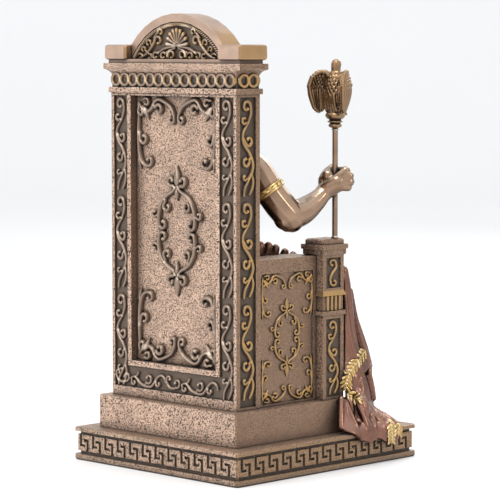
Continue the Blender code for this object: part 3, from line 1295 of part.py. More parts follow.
def tidy_mesh(item):
    """Merge coincident points, flatten coplanar faces and leave plain triangles in metres."""
    builder = bmesh.new()
    builder.from_mesh(item.data)
    bmesh.ops.remove_doubles(builder, verts=builder.verts, dist=0.002)
    bmesh.ops.dissolve_limit(builder, angle_limit=math.radians(0.4), verts=builder.verts,
                             edges=builder.edges, use_dissolve_boundaries=False)
    bmesh.ops.triangulate(builder, faces=builder.faces, quad_method="BEAUTY", ngon_method="BEAUTY")
    bmesh.ops.dissolve_degenerate(builder, dist=0.002, edges=builder.edges)
    bmesh.ops.triangulate(builder, faces=builder.faces)
    bmesh.ops.scale(builder, vec=(MILLIMETRE,) * 3, verts=builder.verts)
    builder.to_mesh(item.data)
    builder.free()


def main():
    for item in list(bpy.data.objects):
        bpy.data.objects.remove(item)
    finishes = {
        "plinth": ((0.35, 0.25, 0.18), 0.45, 0.8), "throne": ((0.36, 0.26, 0.19), 0.45, 0.8),
        "figure": ((0.42, 0.28, 0.2), 0.35, 0.9), "sceptre_rod": ((0.34, 0.22, 0.17), 0.35, 0.9),
        "eagle": ((0.48, 0.34, 0.2), 0.35, 0.9),
    }
    for item in (make_plinth(), make_throne(), *make_figure_parts(), make_rod(), make_eagle()):
        tidy_mesh(item)
        paint(item, *finishes.get(item.name, finishes["figure"]))


main()
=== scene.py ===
"""Looks of the cold-cast bronze statuette: bearded god on a carved throne with an eagle sceptre.

The figure faces -Y, the carved back of the throne faces +Y and +X is the figure's left.
Lengths are millimetres while a piece is made and metres once it is placed.
"""
import math

import bmesh
import bpy
from mathutils import Matrix, Vector


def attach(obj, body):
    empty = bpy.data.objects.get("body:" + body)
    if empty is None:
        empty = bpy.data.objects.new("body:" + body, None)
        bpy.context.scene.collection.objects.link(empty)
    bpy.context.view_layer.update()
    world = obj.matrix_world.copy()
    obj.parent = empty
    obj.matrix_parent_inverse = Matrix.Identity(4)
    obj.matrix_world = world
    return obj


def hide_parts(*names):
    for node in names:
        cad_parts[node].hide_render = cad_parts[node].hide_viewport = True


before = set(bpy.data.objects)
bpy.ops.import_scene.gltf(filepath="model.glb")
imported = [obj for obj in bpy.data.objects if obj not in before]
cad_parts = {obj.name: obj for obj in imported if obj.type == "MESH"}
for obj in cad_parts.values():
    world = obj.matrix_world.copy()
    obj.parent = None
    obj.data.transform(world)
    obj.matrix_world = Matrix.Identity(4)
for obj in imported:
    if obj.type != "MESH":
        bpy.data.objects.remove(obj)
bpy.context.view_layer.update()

# Camera, from the photo's vanishing points
CAMERA_PLACE = (-0.99429796, 0.9975781, 0.24157083)
CAMERA_YAW = 0.78194938
CAMERA_PITCH = 0.08419447
CAMERA_LENS = 173.9
SENSOR_WIDTH = 36.0

# Floor in metres, its rim rolled up as a studio backdrop, and the even light round it
STAGE_RADIUS = 2.4
STAGE_RIM = 0.8
RIM_STEPS = 12
SKY_COLOUR = (0.955, 0.962, 0.972, 1.0)
SKY_STRENGTH = 1.0
LIGHT_AIM = (0, 0, 0.13)

MILLIMETRE = 0.001

# Softness of the castings: bevels, sharp creases, and voxels of the melted forms
CAST_ROUNDING = 0.35
PLINTH_ROUNDING = 0.22
BEVEL_ANGLE = 35.0
CREASE_ANGLE = 40.0
BODY_VOXEL = 0.6
CLOTH_VOXEL = 0.5
HEAD_VOXEL = 0.4
EAGLE_VOXEL = 0.26
BODY_TRIANGLES = 150000
CLOTH_TRIANGLES = 190000
HEAD_TRIANGLES = 90000
EAGLE_TRIANGLES = 80000

# How far joined solids run into each other, and cutters past the face they cut
SUNK = 1.0
PAST = 1.0

# Plinth
PLINTH_WIDTH = 135.7
PLINTH_DEPTH = 149.3
PLINTH_FOOT_HEIGHT = 3.5
KEY_BAND_HEIGHT = 13.5
PLINTH_TOP_SLAB = 2.4
PLINTH_CORNER_CUT = 1.2
KEY_INSET = 1.2
KEY_DEPTH = 1.1
KEY_MARGIN = 2.0
KEY_COUNT_BACK = 12
KEY_COUNT_SIDE = 13

# Pedestal under the throne
PEDESTAL_WIDTH = 113.8
PEDESTAL_BACK_Y = 64.7
PEDESTAL_FRONT_Y = -27.6
PEDESTAL_HEIGHT = 19.3

# Throne back
BACK_WIDTH = 102.5
BACK_REAR_Y = 58.8
BACK_THICKNESS = 18.6
BACK_HEIGHT = 176.3
EDGE_STRIP = 2.1
BORDER_WIDTH = 11.2
FRAME_STRIP = 3.0
BORDER_DEPTH = 1.4
PANEL_DEPTH = 4.8
BACK_FOOT_STRIP = 5.6
PANEL_TOP_STRIP = 1.6
SIDE_STRIP = 3.0

# Cornice and arch
NECK_BAND = 3.1
NECK_OVERHANG = 1.2
FRIEZE_HEIGHT = 9.5
FRIEZE_SET_IN = 0.4
FRIEZE_FLARE = 1.6
SHELF_BAND = 4.3
SHELF_OVERHANG = 4.7
SHELF_BEHIND = 1.8
SHELF_FRONT = 2.2
CORNICE_RECESS = 1.8
SHELF_LIP = 2.2
BLOCK_HEIGHT = 8.8
BLOCK_ROUNDING = 1.7
BLOCK_INNER_X = 37.5
ARCH_RISE = 17.6
ARCH_RADIUS = 49.0
ARCH_CORNER_MARGIN = 0.8
ARCH_DEPTH = 13.8
ARCH_SET_IN = 5.0
ARCH_BAND = 4.6
ROPE_RADIUS = 1.3
ROPE_PITCH = 1.7
TYMPANUM_DEPTH = 1.6
ARCH_STEPS = 11
RING_COUNT_BACK = 14
RING_COUNT_SIDE = 2
RING_HEIGHT = 8.4
RING_STRAND = 1.9
SHELL_RAYS = 9
SHELL_RADIUS = 9.2
SHELL_ROOT_Z = 241.8
RING_PITCH = 7.18

# Arms, posts and seat
ARM_WIDTH = 20.0
ARM_OUTER_X = 49.5
ARM_TOP_Z = 122.0
ARM_RAIL_HEIGHT = 8.0
ARM_FRONT_Y = -7.8
ARM_PANEL_DEPTH = 1.0
ARM_PANEL_MARGIN = 2.6
POST_WIDTH = 14.2
POST_DEPTH = 17.3
POST_OUTER_X = 54.9
POST_SHAFT_TOP = 121.8
POST_PANEL_DEPTH = 1.0
POST_MARGIN = 2.6
TONGUE_BAND_Z = 87.0
TONGUE_BAND_HEIGHT = 14.7
TONGUES = 4
CAP_FLARE = 1.8
CAP_NECK_HEIGHT = 3.7
CAP_SLAB_HEIGHT = 2.7
CAP_BLOCK_HEIGHT = 3.2
SEAT_TOP_Z = 94.0
SEAT_FRONT_Y = -16.0

# Carved scrolls
STRAND_HALF_WIDTH = 0.8
STRAND_HEIGHT = 1.5
SKIRT = 0.3
STRAND_STEP = 0.8
STRAND_SIDES = 7
CURL_TURN = 24.0
CURL_TIGHTENING = 0.52
VINE_REPEAT = 57.0
CORNER_INSET = 1.9
WAVE_REPEAT = 42.6

# Sceptre and eagle
ROD_RADIUS = 1.6
ROD_FROM_POST_SIDE = 2.3
ROD_FROM_POST_FRONT = 5.2
EAGLE_FOOT_Z = 194.6
FEATHERS = 9
FEATHER_LIFT = 0.6

# Heights worked out from the sizes above
PLINTH_TOP = PLINTH_FOOT_HEIGHT + KEY_BAND_HEIGHT + PLINTH_TOP_SLAB
PEDESTAL_TOP = PLINTH_TOP + PEDESTAL_HEIGHT
BACK_TOP = PEDESTAL_TOP + BACK_HEIGHT
BACK_FRONT_Y = BACK_REAR_Y - BACK_THICKNESS
FRIEZE_FOOT = BACK_TOP + NECK_BAND
SHELF_FOOT = FRIEZE_FOOT + FRIEZE_HEIGHT
SHELF_TOP = SHELF_FOOT + SHELF_BAND
BLOCK_FOOT = SHELF_TOP + CORNICE_RECESS
BLOCK_TOP = BLOCK_FOOT + BLOCK_HEIGHT
SHELF_HALF_WIDTH = BACK_WIDTH / 2 + SHELF_OVERHANG
SHELF_REAR_Y = BACK_REAR_Y + SHELF_BEHIND
SHELF_FRONT_Y = BACK_FRONT_Y - SHELF_FRONT
ARCH_REAR_Y = SHELF_REAR_Y - ARCH_SET_IN
POST_REAR_Y = ARM_FRONT_Y
POST_FRONT_Y = POST_REAR_Y - POST_DEPTH
CAP_TOP = POST_SHAFT_TOP + CAP_NECK_HEIGHT + CAP_SLAB_HEIGHT + CAP_BLOCK_HEIGHT
ROD_X = ROD_FROM_POST_SIDE - POST_OUTER_X
ROD_Y = POST_FRONT_Y + ROD_FROM_POST_FRONT
BORDER_OUTER_X = BACK_WIDTH / 2 - EDGE_STRIP
BORDER_INNER_X = BORDER_OUTER_X - BORDER_WIDTH
PANEL_HALF_WIDTH = BORDER_INNER_X - FRAME_STRIP
BORDER_FOOT_Z = PEDESTAL_TOP + BACK_FOOT_STRIP
PANEL_FOOT_Z = BORDER_FOOT_Z + BORDER_WIDTH + FRAME_STRIP + 1.5
PANEL_TOP_Z = BACK_TOP - PANEL_TOP_STRIP
ABOVE_ALL = 300.0


# Mesh helpers

def new_object(name, builder):
    """Link a new object whose mesh is what the bmesh holds."""
    bmesh.ops.recalc_face_normals(builder, faces=builder.faces)
    mesh = bpy.data.meshes.new(name)
    builder.to_mesh(mesh)
    builder.free()
    item = bpy.data.objects.new(name, mesh)
    bpy.context.scene.collection.objects.link(item)
    return item


def drop(item):
    """Remove a helper object and its mesh."""
    mesh = item.data
    bpy.data.objects.remove(item)
    bpy.data.meshes.remove(mesh)


def apply_modifiers(item):
    """Replace the object's mesh with its evaluated one."""
    graph = bpy.context.evaluated_depsgraph_get()
    baked = bpy.data.meshes.new_from_object(item.evaluated_get(graph))
    old = item.data
    item.modifiers.clear()
    item.data = baked
    bpy.data.meshes.remove(old)


def combine(item, other, operation):
    """Apply one exact Boolean and remove the second object."""
    cut = item.modifiers.new("combine", "BOOLEAN")
    cut.operation = operation
    cut.solver = "EXACT"
    cut.use_self = True
    cut.object = other
    apply_modifiers(item)
    drop(other)


def add_box(builder, low, high):
    """Add one box between two corners."""
    size = Vector(high) - Vector(low)
    middle = (Vector(high) + Vector(low)) / 2
    place = Matrix.Translation(middle) @ Matrix.Diagonal((*size, 1.0))
    return bmesh.ops.create_cube(builder, size=1.0, matrix=place)["verts"]


def box_object(name, boxes):
    """Make one object that holds several boxes."""
    builder = bmesh.new()
    for low, high in boxes:
        add_box(builder, low, high)
    return new_object(name, builder)


def rectangle(half_x, half_y, corner):
    """Corners of a rectangle, each cut off where a corner cut is given."""
    outline = []
    for sign_x, sign_y, first in ((1, 1, "y"), (-1, 1, "x"), (-1, -1, "y"), (1, -1, "x")):
        if not corner:
            outline.append((sign_x * half_x, sign_y * half_y))
            continue
        on_x = (sign_x * half_x, sign_y * (half_y - corner))
        on_y = (sign_x * (half_x - corner), sign_y * half_y)
        outline += [on_x, on_y] if first == "y" else [on_y, on_x]
    return outline


def stack_object(name, middle, rings):
    """Skin a stack of rectangles: half width, half depth, height and corner cut."""
    builder = bmesh.new()
    loops = []
    for half_x, half_y, height, corner in rings:
        outline = rectangle(half_x, half_y, corner)
        loops.append([builder.verts.new((middle[0] + x, middle[1] + y, height)) for x, y in outline])
    for lower, upper in zip(loops, loops[1:]):
        count = len(lower)
        for i in range(count):
            j = (i + 1) % count
            builder.faces.new((lower[i], lower[j], upper[j], upper[i]))
    builder.faces.new(reversed(loops[0]))
    builder.faces.new(loops[-1])
    return new_object(name, builder)


def prism_into(builder, outline, place, low, high):
    """Extrude a flat outline from one height to another and place it."""
    foot = [builder.verts.new(place @ Vector((x, y, low))) for x, y in outline]
    top = [builder.verts.new(place @ Vector((x, y, high))) for x, y in outline]
    builder.faces.new(foot)
    builder.faces.new(list(reversed(top)))
    for i in range(len(foot)):
        j = (i + 1) % len(foot)
        builder.faces.new((foot[i], foot[j], top[j], top[i]))


def panel_frame(origin, across, outward):
    """Place a flat drawing: X runs across, Y runs up and Z points out of the wall."""
    across = Vector(across).normalized()
    outward = Vector(outward).normalized()
    up = outward.cross(across)
    turn = Matrix((across, up, outward)).transposed()
    return Matrix.Translation(Vector(origin)) @ turn.to_4x4()


def settle(item, material, slot, *replaced, crease=CREASE_ANGLE):
    """Turn a finished piece into metres, give it its material and hand it to the frame."""
    item.data.transform(Matrix.Scale(MILLIMETRE, 4))
    item.data.materials.clear()
    item.data.materials.append(material)
    item.data.shade_smooth()
    item.data.set_sharp_from_angle(angle=math.radians(crease))
    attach(item, "root")
    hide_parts(*replaced)
    return item


def darken_floors(item, material, floors):
    """Give a second material to the faces on some planes: axis, place, lowest and highest point."""
    item.data.materials.append(material)
    for face in item.data.polygons:
        for axis, place, low, high in floors:
            flat = abs(face.normal[axis]) > 0.98
            near = abs(abs(face.center[axis]) - place * MILLIMETRE) < 0.00006
            if flat and near and low < face.center.z / MILLIMETRE < high:
                face.material_index = 1


def refinish(item, material, low, high):
    """Another finish for the faces whose middles lie in a box that is mirrored across X."""
    item.data.materials.append(material)
    slot = len(item.data.materials) - 1
    for face in item.data.polygons:
        middle = face.center / MILLIMETRE
        middle.x = abs(middle.x)
        if face.material_index == 0 and all(low[i] <= middle[i] <= high[i] for i in range(3)):
            face.material_index = slot


def round_edges(item, width, segments=2):
    """Round the sharp edges as a casting's are."""
    soft = item.modifiers.new("round", "BEVEL")
    soft.width = width
    soft.segments = segments
    soft.limit_method = "ANGLE"
    soft.angle_limit = math.radians(BEVEL_ANGLE)
    soft.harden_normals = False
    apply_modifiers(item)


# Carved scrolls

def spline(points, step):
    """Run an even Catmull-Rom curve through the points."""
    points = [Vector(point) for point in points]
    padded = [2 * points[0] - points[1]] + points + [2 * points[-1] - points[-2]]
    out = [points[0]]
    for a, b, c, d in zip(padded, padded[1:], padded[2:], padded[3:]):
        pieces = max(1, round((c - b).length / step))
        for i in range(1, pieces + 1):
            t = i / pieces
            out.append(
                ((2 * b) + (c - a) * t + (2 * a - 5 * b + 4 * c - d) * t * t
                 + (3 * b - a - 3 * c + d) * t * t * t) / 2
            )
    return out


def curl(centre, radius, start, sweep):
    """Points of a spiral that winds in from its outer radius, angles in degrees."""
    count = max(2, round(abs(sweep) / CURL_TURN))
    out = []
    for i in range(count + 1):
        share = i / count
        angle = math.radians(start + sweep * share)
        reach = radius * (1.0 - CURL_TIGHTENING * share)
        out.append((centre[0] + reach * math.cos(angle), centre[1] + reach * math.sin(angle)))
    return out


def along_stem(t):
    """A strand's share of its full width: thin at both ends."""
    return 0.55 + 0.45 * math.sin(math.pi * t) ** 0.6


def along_leaf(t):
    """A leaf's share of its full width: fullest a third of the way to its tip."""
    return max(0.12, math.sin(math.pi * t ** 0.72)) if t < 1.0 else 0.12


def strand_into(builder, points, half_width, height, place, swell=along_stem, step=STRAND_STEP):
    """Add a raised strand with a rounded top; its skirt goes a little into the wall."""
    path = spline([(point[0], point[1], 0.0) for point in points], step)
    last = len(path) - 1
    stations = []
    for i, point in enumerate(path):
        along = (path[min(i + 1, last)] - path[max(i - 1, 0)]).normalized()
        side = Vector((-along.y, along.x, 0.0))
        size = swell(i / last)
        reach = half_width * size
        rise = height * (0.55 + 0.45 * size)
        section = [(-1.0, -SKIRT)]
        for j in range(STRAND_SIDES + 1):
            angle = math.pi * j / STRAND_SIDES
            section.append((-math.cos(angle), rise * (0.42 + 0.58 * math.sin(angle))))
        section.append((1.0, -SKIRT))
        stations.append([builder.verts.new(place @ (point + side * (across * reach) + Vector((0, 0, out))))
                         for across, out in section])
    for near, far in zip(stations, stations[1:]):
        for i in range(len(near) - 1):
            builder.faces.new((near[i], near[i + 1], far[i + 1], far[i]))
    builder.faces.new(stations[0])
    builder.faces.new(list(reversed(stations[-1])))


def knob_into(builder, middle, half_width, half_height, height, place):
    """Add a small raised dome."""
    turn = Matrix.Translation((*middle, 0.0)) @ Matrix.Diagonal((half_width, half_height, height, 1.0))
    made = bmesh.ops.create_uvsphere(builder, u_segments=10, v_segments=8, radius=1.0, matrix=place @ turn)
    return made


class Scrolls:
    """Collects the strands of one wall in one mesh; drawings scale and mirror."""

    def __init__(self, place, height=STRAND_HEIGHT, width=STRAND_HALF_WIDTH):
        self.builder = bmesh.new()
        self.place = place
        self.scale = (1.0, 1.0)
        self.shift = (0.0, 0.0)
        self.height = height
        self.width = width

    def at(self, scale, shift):
        """Set where the next drawing goes and how large it is."""
        self.scale = scale
        self.shift = shift

    def point(self, point):
        return (self.shift[0] + point[0] * self.scale[0], self.shift[1] + point[1] * self.scale[1])

    def stroke(self, stem, end=None, start=None, thick=1.0):
        """A stem through its points, wound into a curl at its end and start where given."""
        points = list(reversed(curl(*start))) if start else []
        points += list(stem)
        if end:
            points += curl(*end)
        points = [self.point(point) for point in points]
        strand_into(self.builder, points, self.width * thick, self.height, self.place)
        for is_curled, tip in ((start, points[0]), (end, points[-1])):
            if is_curled:
                eye = self.width * thick * 1.15
                knob_into(self.builder, tip, eye, eye, self.height * 1.05, self.place)

    def leaf(self, points, half_width=1.5):
        """A pointed leaf along its mid rib."""
        points = [self.point(point) for point in points]
        strand_into(self.builder, points, half_width * abs(self.scale[0]), self.height * 0.9, self.place,
                    along_leaf)

    def piece(self, name, material, node_slot):
        return settle(new_object(name, self.builder), material, node_slot)


# Scroll drawings, in millimetres at full size

def draw_vine_repeat(scrolls):
    """One repeat of the climbing vine: a top loop, a winding stem, side curls and two drooping tails."""
    scrolls.stroke([(0.4, -14.0), (2.9, -8.5)], ((-0.8, -4.6), 3.4, 10, 300), thick=1.1)
    scrolls.stroke([(0.6, -13.6)], ((-3.0, -12.0), 2.3, -40, -250))
    scrolls.stroke([(0.2, -14.0), (-4.0, -19.5), (-3.2, -25.0), (1.4, -30.0), (4.6, -36.0), (4.0, -40.5),
                    (0.6, -45.5), (-2.4, -50.0), (-3.2, -54.2)], thick=1.1)
    scrolls.stroke([(-4.0, -21.5)], ((1.2, -23.6), 3.0, 215, 290), thick=1.05)
    scrolls.stroke([(3.4, -32.6)], ((-1.4, -35.0), 3.1, 20, -290), thick=1.05)
    scrolls.stroke([(3.6, -42.0), (4.8, -46.0), (3.9, -50.0), (1.6, -53.6)])
    scrolls.stroke([(1.6, -44.4)], ((-2.4, -43.8), 1.7, -30, -230), thick=0.9)


def draw_vine(scrolls, repeats, width_scale, top):
    """Climbing vine, drawn downwards from its top loop."""
    for i in range(repeats):
        scrolls.at((width_scale, 1.0), (0.0, top - i * VINE_REPEAT))
        draw_vine_repeat(scrolls)


def draw_corner(scrolls):
    """Scrolls that spring from the corner at the drawing's origin."""
    scrolls.leaf([(4.2, 5.6), (7.4, 9.0), (10.2, 13.8)], 2.3)
    scrolls.stroke([(2.0, 4.0), (5.0, 7.5), (9.0, 9.0), (13.0, 7.5), (16.0, 3.5), (19.5, 2.0), (25.0, 3.6),
                    (30.0, 6.3), (32.6, 10.5)], ((30.6, 13.3), 2.5, -20, 270), thick=1.1)
    scrolls.stroke([(4.6, 2.0)], ((8.7, 3.8), 2.6, 220, 270))
    scrolls.stroke([(15.0, 4.6)], ((19.5, 7.8), 3.2, 200, 290), thick=1.1)
    scrolls.stroke([(1.6, 5.0)], ((4.0, 9.2), 2.6, 230, -270))
    scrolls.stroke([(2.0, 11.0), (1.6, 18.0), (1.8, 26.0), (2.5, 33.0), (5.0, 38.5), (9.0, 40.5)],
                   ((10.8, 37.4), 3.0, 120, -270), thick=1.1)
    scrolls.stroke([(1.8, 20.0)], ((6.2, 24.7), 3.3, 200, -290), thick=1.05)
    scrolls.leaf([(2.4, 33.0), (2.4, 38.0), (3.0, 42.4)], 1.3)


def draw_cartouche(scrolls, middle, scale):
    """Pointed oval of scrolls, four mirrored quarters with a lily above and below."""
    for side in (1, -1):
        for rise in (1, -1):
            scrolls.at((side * scale[0], rise * scale[1]), middle)
            scrolls.stroke([(0.6, 25.6), (3.2, 22.6), (7.6, 20.4), (11.8, 16.6), (14.4, 11.2), (15.0, 6.4)],
                           ((11.6, 3.6), 3.1, 10, -270), thick=1.15)
            scrolls.stroke([(9.8, 18.8)], ((8.0, 13.6), 3.0, 60, -280))
            scrolls.stroke([(0.8, 24.2)], ((4.8, 28.4), 3.0, 240, 290), thick=1.1)
            scrolls.stroke([(14.8, 8.8)], ((18.4, 9.4), 2.1, 215, 260), thick=0.9)
    for rise in (1, -1):
        scrolls.at((scale[0], rise * scale[1]), middle)
        scrolls.leaf([(0.0, 25.0), (0.0, 31.0), (0.0, 37.4)], 2.6)
        scrolls.leaf([(0.0, 25.0), (0.0, 21.4), (0.0, 17.2)], 1.7)


def draw_wave_repeat(scrolls, shift):
    """One repeat of the running wave, at its height above the plinth's underside."""
    scrolls.at((1.0, 1.0), (shift, 0.0))
    scrolls.stroke([(-5.7, 50.6), (-3.2, 47.2), (1.0, 46.8)], ((2.9, 50.0), 2.8, -110, 290),
                   ((-3.8, 52.0), 1.9, 220, -240))
    scrolls.stroke([(6.8, 49.8), (10.6, 50.6), (14.1, 47.5), (18.7, 45.9), (23.7, 46.0), (26.4, 48.3),
                    (29.5, 52.0), (32.9, 53.3), (35.6, 51.4), (36.2, 49.4)], thick=1.1)
    scrolls.stroke([(7.0, 49.6)], ((9.2, 47.4), 1.8, 150, 240), thick=0.9)
    scrolls.stroke([(10.6, 50.4), (12.2, 51.6), (13.5, 53.8)], thick=0.9)
    scrolls.stroke([(19.0, 46.2)], ((21.8, 50.4), 3.0, 230, 290))
    scrolls.stroke([(27.6, 50.0)], ((29.7, 48.2), 2.0, 130, 260), thick=0.9)


def draw_tympanum(scrolls):
    """Scroll pairs under and beside the shell."""
    for side in (-1, 1):
        scrolls.at((side, 1.0), (0.0, 0.0))
        scrolls.stroke([(0.8, 241.4), (5.9, 240.9), (11.0, 239.8), (16.0, 237.2)], thick=1.05)
        scrolls.stroke([(1.0, 240.6), (6.6, 238.6), (7.6, 235.6)], ((4.4, 236.4), 2.9, -20, 290))
        scrolls.stroke([(7.8, 238.8)], ((11.2, 236.0), 2.3, 150, -280))
        scrolls.stroke([(14.4, 238.6)], ((17.6, 235.9), 2.3, 130, -280))
        scrolls.stroke([(31.0, 234.6), (26.0, 236.6), (21.4, 240.4), (18.6, 244.0)],
                       ((15.4, 244.6), 3.0, -10, 280), thick=1.15)
        scrolls.stroke([(23.6, 238.2)], ((22.0, 235.4), 1.9, 60, 250), thick=0.9)
        scrolls.stroke([(18.8, 246.2), (16.2, 249.0)], ((13.4, 249.6), 2.1, -20, 270))
        scrolls.stroke([(11.4, 251.6), (7.6, 253.0), (3.0, 253.4)], thick=0.85)
        scrolls.stroke([(19.6, 242.6)], ((23.4, 243.4), 2.2, 200, -270), thick=0.9)
        scrolls.stroke([(24.4, 238.4)], ((27.6, 239.8), 1.8, 200, -260), thick=0.85)
        scrolls.stroke([(27.6, 236.0), (30.4, 237.4), (32.4, 236.4)], thick=0.8)


def shell_into(scrolls):
    """Fan of ribs over a short bar."""
    root = Vector((0.0, SHELL_ROOT_Z))
    for i in range(SHELL_RAYS):
        angle = math.radians(6 + (180 - 12) * i / (SHELL_RAYS - 1))
        reach = Vector((math.cos(angle) * SHELL_RADIUS * 0.9, math.sin(angle) * SHELL_RADIUS))
        points = [root + reach * share for share in (0.14, 0.55, 1.0)]
        strand_into(scrolls.builder, points, 1.25, scrolls.height, scrolls.place,
                    lambda t: 0.25 + 0.75 * t ** 0.8)
        knob_into(scrolls.builder, points[-1], 1.25, 1.25, scrolls.height * 1.1, scrolls.place)
    strand_into(scrolls.builder, [(-7.6, 242.6), (0.0, 241.9), (7.6, 242.6)], 0.9, scrolls.height,
                scrolls.place)


def ring_into(scrolls, middle, radii):
    """Raised oval ring."""
    points = []
    for i in range(25):
        angle = 2 * math.pi * i / 24
        points.append((middle[0] + radii[0] * math.cos(angle), middle[1] + radii[1] * math.sin(angle)))
    strand_into(scrolls.builder, points, scrolls.width, scrolls.height, scrolls.place, lambda t: 1.0)


def rope_into(scrolls, points, radius):
    """Twisted rope half sunk in the wall: slanted beads one after another."""
    path = spline([(point[0], point[1], 0.0) for point in points], ROPE_PITCH)
    for i in range(len(path) - 1):
        middle = (path[i] + path[i + 1]) / 2
        along = (path[i + 1] - path[i]).normalized()
        turn = math.atan2(along.y, along.x) + math.radians(50)
        place = scrolls.place @ Matrix.Translation((middle.x, middle.y, radius * 0.5))
        place = place @ Matrix.Rotation(turn, 4, "Z")
        place = place @ Matrix.Diagonal((radius * 1.3, ROPE_PITCH * 0.46, radius * 1.1, 1.0))
        bmesh.ops.create_uvsphere(scrolls.builder, u_segments=10, v_segments=6, radius=1.0, matrix=place)


# Materials

class Value:
    """One number in a material's maths; plain operators add nodes for it."""

    def __init__(self, tree, socket):
        self.tree = tree
        self.socket = socket

    def math(self, operation, *others):
        node = self.tree.nodes.new("ShaderNodeMath")
        node.operation = operation
        for slot, value in zip(node.inputs, (self, *others)):
            plug(self.tree, slot, value)
        return Value(self.tree, node.outputs[0])

    def __add__(self, other):
        return self.math("ADD", other)

    def __sub__(self, other):
        return self.math("SUBTRACT", other)

    def __rsub__(self, other):
        return (self * -1.0) + other

    def __mul__(self, other):
        return self.math("MULTIPLY", other)

    __radd__ = __add__
    __rmul__ = __mul__

    def smooth(self, low, high):
        """0 below the low value, 1 above the high one and a soft step between."""
        node = self.tree.nodes.new("ShaderNodeMapRange")
        node.interpolation_type = "SMOOTHSTEP"
        plug(self.tree, node.inputs["Value"], self)
        node.inputs["From Min"].default_value = low
        node.inputs["From Max"].default_value = high
        return Value(self.tree, node.outputs["Result"])


def plug(tree, slot, value):
    """Link a value into a node's input, or set it there."""
    if isinstance(value, Value):
        tree.links.new(value.socket, slot)
    else:
        slot.default_value = value


class Material:
    """Node tree with a Principled shader and short ways to add other nodes."""

    def __init__(self, name):
        self.material = bpy.data.materials.new(name)
        self.material.use_nodes = True
        self.tree = self.material.node_tree
        self.shader = self.tree.nodes["Principled BSDF"]

    def node(self, kind, output, settings=None, **inputs):
        """Any other node: its settings, its inputs and the output that is wanted."""
        node = self.tree.nodes.new(kind)
        for name, value in (settings or {}).items():
            setattr(node, name, value)
        for name, value in inputs.items():
            plug(self.tree, node.inputs[name.replace("_", " ")], value)
        return Value(self.tree, node.outputs[output])

    def place(self):
        return self.node("ShaderNodeTexCoord", "Object")

    def noise(self, scale, detail=2.0, roughness=0.5):
        return self.node("ShaderNodeTexNoise", "Fac", Vector=self.place(), Scale=scale, Detail=detail,
                         Roughness=roughness)

    def mix(self, factor, first, second):
        """Colour between two colours."""
        node = self.tree.nodes.new("ShaderNodeMix")
        node.data_type = "RGBA"
        plug(self.tree, node.inputs["Factor"], factor)
        plug(self.tree, node.inputs["A"], first)
        plug(self.tree, node.inputs["B"], second)
        return Value(self.tree, node.outputs["Result"])

    def set(self, name, value):
        plug(self.tree, self.shader.inputs[name], value)


def opaque(colour, share=1.0):
    """A colour with its alpha, dimmed where a share is given."""
    return (*[part * share for part in colour], 1.0)


